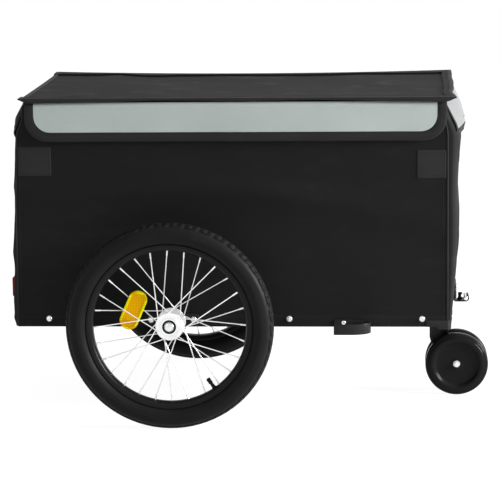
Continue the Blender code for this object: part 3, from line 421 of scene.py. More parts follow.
@dataclass(frozen=True)
class Moulded:
    """Moulded plastic with a faint grain, flow clouds and fine scuffs."""

    name: str
    colour: Colour
    roughness: float = 0.28
    grain: float = 0.00004
    grain_scale: float = 700.0
    shine: float = 0.06

    def make(self) -> bpy.types.Material:
        """Build the material."""
        graph = Graph(self.name)
        grain = graph.noise(graph.place(), self.grain_scale, 2.0)
        flow = graph.noise(graph.place(), 11.0, 3.0)
        scuffs = graph.noise(graph.place((1.0, 1.0, 6.0)), 95.0, 4.0).ramp(0.62, 0.76)
        colour = graph.blend((flow * 0.45 + scuffs * 0.5).least(1.0), shade(self.colour, 0.86),
                             shade(self.colour, 1.5))
        rough = flow * 0.10 + scuffs * 0.18 + (self.roughness - 0.05)
        return graph.surface(Base_Color=colour, Roughness=rough, Specular_IOR_Level=self.shine,
                             Normal=graph.bump(grain, self.grain, 0.5))


@dataclass(frozen=True)
class Lens:
    """Prismatic reflector plastic: small corner cells under a clear face."""

    name: str
    colour: Colour
    cell: float = 0.0032

    def make(self) -> bpy.types.Material:
        """Build the material."""
        graph = Graph(self.name)
        step = math.pi / self.cell
        x, y, z = graph.axes(graph.place((step, step, step)))
        prisms = (x.sine().size() * z.sine().size()).most(y.sine().size() * z.sine().size())
        cloudy = graph.noise(graph.place(), 40.0, 2.0)
        share = (prisms * 0.75 + cloudy * 0.35).least(1.0)
        colour = graph.blend(share, shade(self.colour, 0.74), shade(self.colour, 1.12))
        return graph.surface(Base_Color=colour, Roughness=cloudy * 0.10 + 0.16,
                             Specular_IOR_Level=0.03,
                             Normal=graph.bump(prisms, 0.00035, 0.55))


class Finish(Enum):
    """The finishes that pieces are dressed in."""

    BODY_CLOTH = Cloth("body_cloth", (0.0122, 0.0122, 0.0123), shine=0.05)
    COVER_CLOTH = Cloth("cover_cloth", (0.0064, 0.0064, 0.0065), roughness=0.72, shine=0.05)
    BINDING = Cloth("binding_webbing", (0.020, 0.020, 0.0203), pitch=0.0016, relief=0.00012)
    PATCH = Cloth("patch_cloth", (0.022, 0.022, 0.0225), pitch=0.0014, relief=0.00008)
    THREAD = Cloth("sewing_thread", (0.030, 0.030, 0.031), pitch=0.0006, relief=0.00005)
    TAPE = Tape("reflective_tape", (0.395, 0.444, 0.426))
    FRONT_TAPE = Tape("front_reflective_tape", (0.160, 0.162, 0.165))
    TYRE = Rubber("tyre_compound", (0.0105, 0.0099, 0.0098), roughness=0.44, shine=0.06)
    SEAL = Rubber("seal_rubber", (0.004, 0.004, 0.004), roughness=0.5, shine=0.04)
    BLACK_STEEL = PowderCoat("black_powder_coat", (0.013, 0.013, 0.0135))
    RIM_STEEL = PowderCoat("rim_black", (0.0085, 0.0085, 0.0088), roughness=0.32)
    HUB_METAL = BrightMetal("hub_metal", (0.93, 0.93, 0.935), roughness=0.42)
    CHROME = BrightMetal("bright_plate", (0.80, 0.81, 0.82), roughness=0.18)
    SPOKE_STEEL = BrightMetal("spoke_steel", (0.96, 0.96, 0.97), roughness=0.40,
                              mark_scale=(120.0, 120.0, 120.0))
    STRAP_STEEL = PowderCoat("strap_black", (0.016, 0.016, 0.0165), roughness=0.27)
    WELD = PowderCoat("weld_bead", (0.010, 0.010, 0.0105), roughness=0.48)
    CASTOR_GLOSS = Moulded("castor_plastic", (0.0088, 0.0088, 0.0088), roughness=0.22)
    TREAD = Moulded("castor_tread", (0.0095, 0.0095, 0.0095), roughness=0.20, grain=0.00003)
    CASE = Moulded("reflector_case", (0.010, 0.010, 0.010), roughness=0.35)
    FLOOR = Moulded("floor_board", (0.022, 0.022, 0.023), roughness=0.58, grain=0.00025,
                    grain_scale=420.0)
    AMBER = Lens("amber_prisms", (0.92, 0.455, 0.001))
    # The reflector's rim is the same amber plastic as its prisms; this lighter amber is a painted
    # highlight for the light that the raised rim catches.
    AMBER_EDGE = Lens("amber_rim", (1.0, 0.90, 0.002), cell=0.0050)
    RED = Lens("red_prisms", (0.42, 0.024, 0.016))
    WHITE = Lens("white_prisms", (0.93, 0.94, 0.95))

    def material(self) -> bpy.types.Material:
        """The finish's material, made the first time it is asked for."""
        found = bpy.data.materials.get(self.value.name)
        return found or self.value.make()


# Modelling with Blender's operators


@contextmanager
def edit(piece: bpy.types.Object, mode: str = "VERT") -> Iterator[bmesh.types.BMesh]:
    """Work on a piece in edit mode, starting with nothing selected.

    Args:
        piece: The mesh object.
        mode: Which elements are picked: VERT, EDGE or FACE.

    Yields:
        The mesh that is being edited.
    """
    only(piece)
    bpy.ops.object.mode_set(mode="EDIT")
    bpy.ops.mesh.select_mode(type=mode)
    bpy.ops.mesh.select_all(action="DESELECT")
    yield bmesh.from_edit_mesh(piece.data)
    bpy.ops.object.mode_set(mode="OBJECT")


def only(piece: bpy.types.Object) -> None:
    """Make a piece the only one that is selected, and the active one."""
    bpy.ops.object.select_all(action="DESELECT")
    piece.select_set(True)
    bpy.context.view_layer.objects.active = piece


def pick(piece: bpy.types.Object, test: Callable[[Vector, Vector], bool]) -> None:
    """Select the faces of a piece in edit mode.

    Args:
        piece: The piece.
        test: Says whether a face is wanted, by its middle and its normal.
    """
    bpy.ops.mesh.select_all(action="DESELECT")
    mesh = bmesh.from_edit_mesh(piece.data)
    for face in mesh.faces:
        if test(face.calc_center_median(), face.normal):
            face.select_set(True)
    mesh.select_flush_mode()


def new_piece(name: str) -> bpy.types.Object:
    """Name the piece that an operator has just added."""
    piece = bpy.context.active_object
    piece.name = name
    piece.data.name = name
    return piece


def settle(piece: bpy.types.Object, finish: Finish, angle: float = 35.0,
           closed: bool = True) -> bpy.types.Object:
    """Finish a piece: its place goes into its mesh, its normals point out, and it is dressed.

    Args:
        piece: The mesh object.
        finish: What it is dressed in.
        angle: Edges sharper than this, in degrees, stay sharp.
        closed: Whether doubles are merged and normals recalculated.

    Returns:
        The piece.
    """
    only(piece)
    bpy.ops.object.transform_apply(location=True, rotation=True, scale=True)
    if closed:
        with edit(piece):
            bpy.ops.mesh.select_all(action="SELECT")
            bpy.ops.mesh.remove_doubles(threshold=MERGE)
            bpy.ops.mesh.normals_make_consistent(inside=False)
    only(piece)
    bpy.ops.object.shade_smooth_by_angle(angle=math.radians(angle))
    piece.data.materials.clear()
    piece.data.materials.append(finish.material())
    return piece


def modify(piece: bpy.types.Object, kind: str, **settings: object) -> None:
    """Add a modifier and apply it.

    Args:
        piece: The mesh object.
        kind: The modifier's type.
        settings: Its properties.
    """
    only(piece)
    modifier = piece.modifiers.new(kind.lower(), kind)
    for key, value in settings.items():
        setattr(modifier, key, value)
    bpy.ops.object.modifier_apply(modifier=modifier.name)


def joined(pieces: Sequence[bpy.types.Object], name: str) -> bpy.types.Object:
    """Join several pieces into one.

    Args:
        pieces: The pieces, each with its finish.
        name: The name of the whole.

    Returns:
        The joined piece.
    """
    bpy.ops.object.select_all(action="DESELECT")
    for piece in pieces:
        piece.select_set(True)
    bpy.context.view_layer.objects.active = pieces[0]
    if len(pieces) > 1:
        bpy.ops.object.join()
    return new_piece(name)


def drawn(name: str, points: Sequence[Point], closed: bool = False) -> bpy.types.Object:
    """Draw a line of edges by extruding one point after another.

    Args:
        name: The piece's name.
        points: The line's corners.
        closed: Whether the last corner joins the first.

    Returns:
        The line, in object mode.
    """
    bpy.ops.object.select_all(action="DESELECT")
    bpy.ops.mesh.primitive_plane_add(size=0.01, location=points[0])
    piece = new_piece(name)
    with edit(piece) as mesh:
        bpy.ops.mesh.select_all(action="SELECT")
        bpy.ops.mesh.merge(type="CENTER")
        for first, second in zip(points, points[1:]):
            step = Vector(second) - Vector(first)
            bpy.ops.mesh.extrude_region_move(TRANSFORM_OT_translate={"value": step})
        if closed:
            mesh = bmesh.from_edit_mesh(piece.data)
            bpy.ops.mesh.select_all(action="DESELECT")
            for vert in mesh.verts:
                if len(vert.link_edges) == 1:
                    vert.select_set(True)
            bpy.ops.mesh.edge_face_add()
    return piece


def spun(name: str, profile: Sequence[tuple[float, float]], centre: Point, steps: int,
         finish: Finish, closed: bool = True, way: Vector | None = None,
         angle: float = 35.0) -> bpy.types.Object:
    """Turn a piece on a lathe: a profile of (radius, along) points spun about an axis.

    Args:
        name: The piece's name.
        profile: The section, as distances from the axis and along it.
        centre: The axis's origin.
        steps: How many faces go round.
        finish: What the piece is dressed in.
        closed: Whether the section is a loop. An open one starts and ends on the axis.
        way: The axis's direction, +Y when it isn't given.
        angle: Edges sharper than this stay sharp.

    Returns:
        The piece.
    """
    axis = (way or Vector((0.0, 1.0, 0.0))).normalized()
    out = axis.orthogonal().normalized()
    origin = Vector(centre)
    points = [tuple(origin + out * radius + axis * along) for radius, along in profile]
    piece = drawn(name, points, closed)
    with edit(piece):
        bpy.ops.mesh.select_all(action="SELECT")
        bpy.ops.mesh.spin(steps=steps, angle=2 * math.pi, center=centre, axis=tuple(axis))
    return settle(piece, finish, angle)


def bent_rod(name: str, points: Sequence[Point], radii: Sequence[float], sides: int,
             finish: Finish) -> bpy.types.Object:
    """A round rod along a path, with its own radius at each point.

    A cylinder's end face is extruded from point to point, turned and scaled as it goes.

    Args:
        name: The piece's name.
        points: The path's points.
        radii: The rod's radius at each point.
        sides: How many faces go round.
        finish: What the piece is dressed in.

    Returns:
        The piece.
    """
    path = [Vector(p) for p in points]
    ways = [(b - a).normalized() for a, b in zip(path, path[1:])]
    bpy.ops.object.select_all(action="DESELECT")
    bpy.ops.mesh.primitive_circle_add(vertices=sides, radius=radii[0], fill_type="NGON",
                                      location=path[0],
                                      rotation=ways[0].to_track_quat("Z", "Y").to_euler())
    piece = new_piece(name)
    only(piece)
    bpy.ops.object.transform_apply(location=True, rotation=True, scale=True)
    with edit(piece, "FACE"):
        bpy.ops.mesh.select_all(action="SELECT")
        heading = ways[0]
        for i in range(1, len(path)):
            ahead = ways[min(i, len(ways) - 1)]
            mean = (ways[i - 1] + ahead).normalized()
            step = path[i] - path[i - 1]
            bpy.ops.mesh.extrude_region_move(TRANSFORM_OT_translate={"value": step})
            mesh = bmesh.from_edit_mesh(piece.data)
            ring = [vert for vert in mesh.verts if vert.select]
            turn = heading.rotation_difference(mean).to_matrix()
            grow = radii[i] / radii[i - 1]
            for vert in ring:
                vert.co = path[i] + turn @ (vert.co - path[i]) * grow
            heading = mean
            bmesh.update_edit_mesh(piece.data)
    return settle(piece, finish)


def block(name: str, low: Point, high: Point, finish: Finish, bevel: float = 0.0,
          segments: int = 2) -> bpy.types.Object:
    """A block between two corners with its edges bevelled.

    Args:
        name: The piece's name.
        low: Its lowest corner.
        high: Its highest corner.
        finish: What it is dressed in.
        bevel: The edges' bevel.
        segments: How many faces a bevel has.

    Returns:
        The piece.
    """
    centre = [(a + b) / 2 for a, b in zip(low, high)]
    bpy.ops.object.select_all(action="DESELECT")
    bpy.ops.mesh.primitive_cube_add(size=1.0, location=centre,
                                    scale=[b - a for a, b in zip(low, high)])
    piece = new_piece(name)
    only(piece)
    bpy.ops.object.transform_apply(location=True, rotation=True, scale=True)
    if bevel:
        with edit(piece, "EDGE"):
            bpy.ops.mesh.select_all(action="SELECT")
            bpy.ops.mesh.bevel(offset=bevel, segments=segments, affect="EDGES")
    return settle(piece, finish)


def dome_bolt(name: str, at: Point, way: Vector, radius: float, finish: Finish,
              height: float | None = None) -> bpy.types.Object:
    """A pan-head bolt: a domed head with a hexagon socket, on a thin washer.

    Args:
        name: The piece's name.
        at: The middle of its foot.
        way: The direction it points out.
        radius: The head's radius.
        finish: What it is dressed in.
        height: The head's height, half its radius when it isn't given.

    Returns:
        The piece.
    """
    tall = height or radius * 0.55
    washer = radius * 1.06
    rise = tall * 0.22
    profile = [(0.0, 0.0), (washer, 0.0), (washer, rise), (radius, rise)]
    profile += [(radius * math.cos(t), rise + (tall - rise) * math.sin(t))
                for t in (0.3, 0.65, 1.0, 1.25)]
    socket = radius * 0.42
    profile += [(socket, tall), (socket * 0.92, tall * 0.55), (0.0, tall * 0.5)]
    return spun(name, profile, at, 24, finish, closed=False, way=way)


def hex_head(name: str, at: Point, way: Vector, across: float, tall: float,
             finish: Finish, washer: bool = True) -> bpy.types.Object:
    """A hexagon head with a chamfered top, on a washer where it has one.

    Args:
        name: The piece's name.
        at: The middle of its foot.
        way: The direction it points out.
        across: The head's width across its flats.
        tall: The head's height with its washer.
        finish: What it is dressed in.
        washer: Whether there is a washer under it.

    Returns:
        The piece.
    """
    radius = across / 2 / math.cos(math.pi / 6)
    rise = tall * 0.16
    head = spun(f"{name}_head", [(0.0, 0.0), (radius, 0.0), (radius, tall * 0.86),
                                 (radius * 0.86, tall), (0.0, tall)],
                at, 6, finish, closed=False, way=way, angle=20.0)
    if not washer:
        return joined([head], name)
    disc = spun(f"{name}_washer", [(0.0, 0.0), (radius * 1.16, 0.0), (radius * 1.16, rise * 0.7),
                                   (radius * 1.10, rise), (0.0, rise)],
                at, 28, finish, closed=False, way=way)
    return joined([head, disc], name)


def strap(name: str, points: Sequence[Point], width: Vector, thickness: float,
          finish: Finish) -> bpy.types.Object:
    """A flat bar bent along a path, with its edges rounded.

    Args:
        name: The piece's name.
        points: The path of one edge of the bar's middle face.
        width: The step from that edge to the other.
        thickness: The bar's thickness.
        finish: What it is dressed in.

    Returns:
        The piece.
    """
    piece = drawn(name, points)
    with edit(piece, "EDGE"):
        bpy.ops.mesh.select_all(action="SELECT")
        bpy.ops.mesh.extrude_region_move(TRANSFORM_OT_translate={"value": width})
        bpy.ops.mesh.select_all(action="SELECT")
        bpy.ops.mesh.normals_make_consistent(inside=False)
    modify(piece, "SOLIDIFY", thickness=thickness, offset=0.0)
    modify(piece, "BEVEL", width=thickness * 0.22, segments=2, limit_method="ANGLE",
           angle_limit=math.radians(55.0))
    return settle(piece, finish)


def merged(node: str, name: str) -> bpy.types.Object:
    """A CAD node's copy with its triangles merged into faces."""
    only(bpy.data.objects[node])
    bpy.ops.object.duplicate(linked=False)
    piece = new_piece(name)
    with edit(piece):
        bpy.ops.mesh.select_all(action="SELECT")
        bpy.ops.mesh.remove_doubles(threshold=MERGE)
        bpy.ops.mesh.dissolve_limited(angle_limit=math.radians(1.0))
    return piece


def softened(node: str, finish: Finish, bevel: float) -> bpy.types.Object:
    """A CAD node's merged copy with its edges rounded.

    Args:
        node: The CAD node's name.
        finish: What the copy is dressed in.
        bevel: How wide the rounding is.

    Returns:
        The copy.
    """
    piece = merged(node, f"visual_{node}")
    modify(piece, "BEVEL", width=bevel, segments=2, limit_method="ANGLE",
           angle_limit=math.radians(45.0))
    return settle(piece, finish)


def put(piece: bpy.types.Object, body: str, slot: str, *nodes: str) -> None:
    """Make a piece ride on a body and stand for CAD nodes.

    Args:
        piece: The finished piece.
        body: The body that it moves with.
        slot: The record's material slot; not used.
        nodes: The CAD nodes that it replaces.
    """
    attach(piece, body)
    if nodes:
        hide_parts(*nodes)
    LOG.info("%s: %d faces on %s", piece.name, len(piece.data.polygons), body)


# Places read from the frame


@dataclass(frozen=True)
class Layout:
    """Places on the trailer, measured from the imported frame."""

    axle_x: float
    axle_z: float
    wheel_radius: float
    tyre_width: float
    half_track: float
    body_side: float
    body_rear: float
    body_bottom: float
    panel_top: float
    seam_x: float
    castor: Vector

    @classmethod
    def measured(cls) -> "Layout":
        """Read the places from the nodes' boxes."""
        low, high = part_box("tyre_right")
        side_low, side_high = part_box("side_panel_right")
        rear_low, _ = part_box("rear_panel")
        castor_low, castor_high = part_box("castor_wheels")
        return cls(axle_x=(low.x + high.x) / 2, axle_z=(low.z + high.z) / 2,
                   wheel_radius=(high.z - low.z) / 2, tyre_width=high.y - low.y,
                   half_track=-(low.y + high.y) / 2, body_side=-side_low.y,
                   body_rear=rear_low.x, body_bottom=side_low.z, panel_top=side_high.z,
                   seam_x=side_high.x, castor=(castor_low + castor_high) / 2)

    @property
    def wall_height(self) -> float:
        """The height of the box's walls."""
        return self.panel_top - self.body_bottom

    def fore(self, x: float) -> float:
        """X of a point measured forward of the axle."""
        return self.axle_x + x


# Wheels


@dataclass
class Wheel:
    """One spoked wheel: tyre, rim with valve, laced hub, axle button and reflector."""

    layout: Layout
    side: int                       # -1 on the right, 1 on the left
    spokes: int = 28
    crossings: int = 2
    first_spoke: float = 1.0        # degrees, counter-clockwise from the front
    rim_outer: float = 0.1590
    rim_bead: float = 0.1545
    rim_inner: float = 0.1460
    rim_width: float = 0.029
    flange_radius: float = 0.027
    flange_outboard: float = 0.005
    flange_spacing: float = 0.050
    flange_thickness: float = 0.003
    hole_radius: float = 0.0225
    spoke_radius: float = 0.00105
    nipple_radius: float = 0.0017
    nipple_length: float = 0.0115
    hub_end: float = 0.006
    valve_angle: float = -55.0
    reflector_angle: float = 156.5
    reflector_radius: float = 0.0755
    tyre_steps: int = 168           # faces round the tyre, four to a group of tread blocks
    name: str = field(init=False)
    centre: Vector = field(init=False)

    def __post_init__(self) -> None:
        """Work out the wheel's name and centre."""
        self.name = "right" if self.side < 0 else "left"
        self.centre = Vector((self.layout.axle_x, self.side * self.layout.half_track,
                              self.layout.axle_z))

    def build(self) -> None:
        """Build and place every piece of the wheel."""
        body = f"wheel_{self.name}"
        put(self.tyre(), body, "tyre_rubber", f"tyre_{self.name}")
        put(self.rim(), body, "black_steel", f"rim_{self.name}")
        put(self.hub(), body, "bright_steel", f"hub_spokes_{self.name}")
        put(self.spoke_set(), body, "bright_steel")
        put(self.hub_seals(), body, "black_plastic")
        put(self.valve(), body, "black_plastic")
        put(self.reflector(), body, "amber_lens", f"wheel_reflector_{self.name}")
        put(self.axle(), "trailer", "bright_steel", f"axle_pin_{self.name}")

    def outward(self) -> Vector:
        """The direction away from the trailer."""
        return Vector((0.0, float(self.side), 0.0))

    def at(self, radius: float, angle: float, along: float) -> Vector:
        """A point by its radius, its angle in radians and its place along the axle."""
        return self.centre + Vector((radius * math.cos(angle), self.side * along,
                                     radius * math.sin(angle)))

    def tyre(self) -> bpy.types.Object:
        """The tyre: bead, sidewall with moulding ribs, and a low block tread."""
        half = self.layout.tyre_width / 2
        top = self.layout.wheel_radius
        middle = top - half
        bead = self.rim_width / 2 - 0.0022
        tread_low = 0.0010

        def arch(angle: float, sink: float = 0.0) -> tuple[float, float]:
            t = math.radians(angle)
            return (middle + (half - sink) * math.cos(t), (half - sink) * math.sin(t))
        wall = [arch(a) for a in (112, 104, 96)]
        wall += [arch(91, -0.0002), arch(88, -0.0002), arch(84), arch(76), arch(68), arch(60)]
        shoulder = [arch(53, 0.0001), arch(46, tread_low)]
        crown = [arch(a, tread_low) for a in (38, 30, 22, 14, 6)]
        right = [(self.rim_bead + HAIR, bead), (self.rim_outer + HAIR, bead)]
        right += wall + shoulder + crown
        profile = right + [(r, -y) for r, y in reversed(right)]
        tyre = spun(f"visual_tyre_{self.name}", profile, tuple(self.centre),
                    self.tyre_steps, Finish.TYRE, angle=50.0)
        self._tread(tyre, tread_low)
        return tyre

    def _tread(self, tyre: bpy.types.Object, depth: float) -> None:
        """Raise the tread's blocks from the crown's faces, row by row.

        Args:
            tyre: The tyre, as it was spun.
            depth: How far a block stands up.
        """
        with edit(tyre, "FACE") as mesh:
            for face in mesh.faces:
                place = face.calc_center_median() - self.centre
                radius = math.hypot(place.x, place.z)
                if radius < self.layout.wheel_radius - 0.0090 or face.normal.length == 0:
                    continue
                turn = math.degrees(math.atan2(place.z, place.x)) % 360
                step = int(turn / (360 / self.tyre_steps))
                across = abs(place.y) / (self.layout.tyre_width / 2)
                row = int(across * 6)
                if across < 0.10 or (step + 2 * row) % 4 != 3:
                    face.select_set(across < 0.60)
            mesh.select_flush_mode()
            bpy.ops.mesh.extrude_region_shrink_fatten(
                TRANSFORM_OT_shrink_fatten={"value": depth})

    def rim(self) -> bpy.types.Object:
        """Box-section rim: rolled edges, a tyre well and a rounded bed for the nipples."""
        half = self.rim_width / 2
        wall = 0.0019
        inner = self.rim_inner
        outer = self.rim_outer
        side = [(self.rim_bead, half - wall), (outer - 0.0006, half - wall),
                (outer, half - wall * 0.7), (outer, half - 0.0005), (outer - 0.0007, half),
                (outer - 0.0045, half - 0.0001), (outer - 0.0065, half - 0.0010),
                (inner + 0.0050, half - 0.0016), (inner + 0.0024, half - 0.0040),
                (inner + 0.0006, half * 0.45)]
        profile = side + [(r, -y) for r, y in reversed(side)]
        return spun(f"visual_rim_{self.name}", profile, tuple(self.centre), 160,
                    Finish.RIM_STEEL, angle=30.0)

    def hub(self) -> bpy.types.Object:
        """Turned hub shell: two flanges with a groove, a waisted barrel and a stepped nose."""
        out, half = self.flange_outboard, self.flange_thickness / 2
        back = out - self.flange_spacing
        face = out + half
        end = out + self.hub_end
        profile = [(0.0066, end), (0.0156, end), (0.0158, end - 0.0009), (0.0163, end - 0.0009),
                   (0.0165, end - 0.0001), (0.0172, end - 0.0001), (0.0175, end - 0.0006),
                   (0.0175, face + 0.0008),
                   (0.0183, face), (0.0192, face), (0.0194, face - 0.0005),
                   (0.0200, face - 0.0005), (0.0202, face), (0.0262, face),
                   (self.flange_radius, face - 0.0008), (self.flange_radius, out - half + 0.0008),
                   (0.0262, out - half), (0.0185, out - half - 0.0008),
                   (0.0165, out - half - 0.0032), (0.0150, out - 0.0120),
                   (0.0150, back + 0.0120), (0.0165, back + half + 0.0032),
                   (0.0185, back + half + 0.0008), (0.0262, back + half),
                   (self.flange_radius, back + half - 0.0008),
                   (self.flange_radius, back - half + 0.0008), (0.0262, back - half),
                   (0.0183, back - half), (0.0175, back - half - 0.0008),
                   (0.0175, back - self.hub_end + 0.0008), (0.0168, back - self.hub_end),
                   (0.0066, back - self.hub_end)]
        return spun(f"visual_hub_{self.name}", profile, tuple(self.centre), 56,
                    Finish.HUB_METAL, way=self.outward(), angle=28.0)

    def spoke_ends(self, index: int) -> tuple[float, float, float, float]:
        """Where one spoke starts and ends.

        Args:
            index: The spoke's number, counted from the front, counter-clockwise.

        Returns:
            Its hole's angle, its rim angle, its flange's place and the flange's face, 1 for
            the outer face and -1 for the inner.
        """
        pitch = 2 * math.pi / self.spokes
        rim_angle = math.radians(self.first_spoke) + index * pitch
        inner = index % 2
        trailing = (index + 1) // 2 % 2 == 0
        turn = self.crossings * 2 * math.pi / (self.spokes / 2)
        hole = rim_angle + (turn if trailing else -turn)
        return (hole, rim_angle, self.flange_outboard - self.flange_spacing * inner,
                1.0 if trailing else -1.0)

    def spoke_set(self) -> bpy.types.Object:
        """Every spoke, each with its elbow, its head and its nipple."""
        rods = []
        for index in range(self.spokes):
            hole, rim_angle, flange, face = self.spoke_ends(index)
            head = self.flange_thickness / 2 + self.spoke_radius
            stagger = -0.002 if index % 2 else 0.002
            start = self.at(self.hole_radius, hole, flange - face * (head + 0.0004))
            collar = self.at(self.hole_radius, hole, flange - face * head * 0.75)
            neck = self.at(self.hole_radius, hole, flange + face * head * 0.5)
            elbow = self.at(self.hole_radius, hole, flange + face * head)
            end = self.at(self.rim_inner - 0.0002, rim_angle, stagger)
            line = (end - elbow).normalized()
            bend = elbow + line * self.spoke_radius * 1.6
            grip = end - line * self.nipple_length
            points = [start, collar, neck, elbow + line * 0.0004, bend,
                      elbow + (end - elbow) * 0.5, grip, grip + line * 0.0006,
                      end - line * 0.0020, end]
            r, n = self.spoke_radius, self.nipple_radius
            radii = [r * 1.9, r, r, r, r, r, r, n * 0.92, n, n]
            rods.append(bent_rod(f"spoke_{index}", points, radii, 8, Finish.SPOKE_STEEL))
        return joined(rods, f"visual_spokes_{self.name}")

    def hub_seals(self) -> bpy.types.Object:
        """Black lip seals in both ends of the hub."""
        seals = []
        ends = ((self.flange_outboard + self.hub_end, 1.0),
                (self.flange_outboard - self.flange_spacing - self.hub_end, -1.0))
        for along, way in ends:
            profile = [(0.0096, -0.0020), (0.0134, -0.0020), (0.0134, 0.0002),
                       (0.0126, 0.0010), (0.0112, 0.0006), (0.0100, 0.0010), (0.0096, 0.0004)]
            centre = self.centre + self.outward() * along
            seals.append(spun(f"seal_{way}", profile, tuple(centre), 48, Finish.SEAL,
                              way=self.outward() * way))
        return joined(seals, f"hub_seals_{self.name}")

    def axle(self) -> bpy.types.Object:
        """Plug-in axle: a shaft through the hub with a domed release button."""
        low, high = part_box(f"axle_pin_{self.name}")
        inner, outer = sorted((abs(low.y), abs(high.y)))
        face = self.layout.half_track + self.flange_outboard + self.hub_end + HAIR
        radius, tall = 0.0091, outer - face
        dome = [(radius, face + tall * 0.18)]
        dome += [(radius * math.cos(t), face + tall * (0.18 + 0.82 * math.sin(t)))
                 for t in (0.35, 0.7, 1.05, 1.35)]
        profile = [(0.0, inner), (0.0050, inner), (0.0060, inner + 0.001), (0.0060, face),
                   (radius, face)] + dome + [(0.0, outer)]
        centre = (self.layout.axle_x, 0.0, self.layout.axle_z)
        return spun(f"visual_axle_{self.name}", profile, centre, 40, Finish.CHROME,
                    closed=False, way=self.outward())

    def valve(self) -> bpy.types.Object:
        """Rubber valve stem with a ribbed cap."""
        angle = math.radians(self.valve_angle)
        foot = self.at(self.rim_inner + 0.0015, angle, 0.0)
        way = (self.centre - foot).normalized()
        profile = [(0.0, 0.0), (0.0052, 0.0), (0.0050, 0.0015), (0.0037, 0.0035),
                   (0.0033, 0.0095), (0.0033, 0.0120), (0.0042, 0.0122), (0.0042, 0.0150),
                   (0.0039, 0.0153), (0.0039, 0.0175), (0.0042, 0.0178), (0.0042, 0.0205),
                   (0.0034, 0.0228), (0.0, 0.0235)]
        return spun(f"valve_{self.name}", profile, tuple(foot), 18, Finish.CASE, closed=False,
                    way=way)

    def reflector(self) -> bpy.types.Object:
        """Wheel reflector: an oblong lens with a proud rim, clipped behind the spokes."""
        low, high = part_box(f"wheel_reflector_{self.name}")
        y_in, y_out = sorted((abs(low.y), abs(high.y)))
        angle = math.radians(self.reflector_angle)
        radial = Vector((math.cos(angle), 0.0, math.sin(angle)))
        tangent = Vector((-math.sin(angle), 0.0, math.cos(angle)))
        middle = self.centre + radial * self.reflector_radius
        half_width, straight = 0.018, 0.021
        bpy.ops.object.select_all(action="DESELECT")
        bpy.ops.mesh.primitive_circle_add(vertices=48, radius=half_width, fill_type="NGON")
        lens = new_piece(f"visual_wheel_reflector_{self.name}")
        with edit(lens) as mesh:
            for vert in mesh.verts:
                if abs(vert.co.y) > 1e-6:
                    vert.co.y += math.copysign(straight, vert.co.y)
            bpy.ops.mesh.select_mode(type="FACE")
            bpy.ops.mesh.select_all(action="SELECT")
            bpy.ops.mesh.extrude_region_move(
                TRANSFORM_OT_translate={"value": (0.0, 0.0, y_out - y_in)})
            bpy.ops.mesh.bevel(offset=0.0010, segments=2, affect="EDGES")
            pick(lens, lambda c, n: c.z > y_out - y_in - 1e-5)
            bpy.ops.mesh.inset(thickness=0.0030, depth=0.0)
            bpy.ops.mesh.inset(thickness=0.0006, depth=-0.0010)
            bpy.ops.mesh.inset(thickness=0.0050, depth=0.0)
        # The rim and sides take the lighter amber, a painted highlight; the field inside takes the
        # prism amber.
        settle(lens, Finish.AMBER_EDGE, 25.0)
        lens.data.materials.append(Finish.AMBER.material())
        for face in lens.data.polygons:
            inside = abs(face.center.x) < half_width - 0.0036
            inside = inside and abs(face.center.y) < half_width + straight - 0.0036
            face.material_index = int(inside and face.center.z > (y_out - y_in) * 0.7)
        frame = Matrix((radial, tangent, self.outward())).transposed().to_4x4()
        foot = Vector((middle.x, self.side * y_in, middle.z))
        lens.data.transform(Matrix.Translation(foot) @ frame)
        if frame.determinant() < 0:
            lens.data.flip_normals()
        return lens


# Cloth


def sheet_of(name: str, columns: Sequence[float], rows: Sequence[float],
             place: Callable[[float, float], Vector], flat: tuple[float, float],
             thickness: float, outward: Vector, finish: Finish) -> bpy.types.Object:
    """A sheet of cloth: a grid moved point by point, with a wall and a UV map in metres.

    Args:
        name: The piece's name.
        columns: The grid lines' places across, from -1 to 1.
        rows: The grid lines' places from the bottom up, from 0 to 1.
        place: Gives the outer face's point at a place across and up.
        flat: The cloth's flat width and height.
        thickness: Its wall, laid inwards from the outer face.
        outward: The side that shows.
        finish: What it is dressed in.

    Returns:
        The piece.
    """
    bpy.ops.object.select_all(action="DESELECT")
    bpy.ops.mesh.primitive_grid_add(x_subdivisions=len(columns) - 1,
                                    y_subdivisions=len(rows) - 1, size=2.0)
    piece = new_piece(name)
    mesh = piece.data
    corners = np.array([(u, v) for v in rows for u in columns])
    points = np.array([place(u, v)[:] for u, v in corners], dtype=np.float32)
    mesh.vertices.foreach_set("co", points.ravel())
    loops = np.zeros(len(mesh.loops), dtype=np.int32)
    mesh.loops.foreach_get("vertex_index", loops)
    metres = corners * np.array([flat[0] / 2, flat[1]])
    mesh.uv_layers.active.data.foreach_set("uv", metres[loops].astype(np.float32).ravel())
    mesh.update()
    facing = sum((poly.normal * poly.area for poly in mesh.polygons), Vector())
    if facing.dot(outward) < 0:
        mesh.flip_normals()
    modify(piece, "SOLIDIFY", thickness=thickness, offset=-1.0, use_even_offset=True)
    return settle(piece, finish, 60.0, closed=False)


def even(count: int, low: float = -1.0, high: float = 1.0) -> list[float]:
    """Evenly spaced numbers from low to high, in a number of steps."""
    return [low + (high - low) * i / count for i in range(count + 1)]


def read(line: Sequence[Pair], place: float) -> float:
    """The value at a place, read off a line of places and values."""
    return float(np.interp(place, *zip(*line)))


def clamp(value: float) -> float:
    """A number held between 0 and 1."""
    return max(0.0, min(1.0, value))


def hump(value: float, middle: float, width: float) -> float:
    """A soft fold's height: 1 at its middle and near 0 two widths from it."""
    return math.exp(-((value - middle) / width) ** 2)


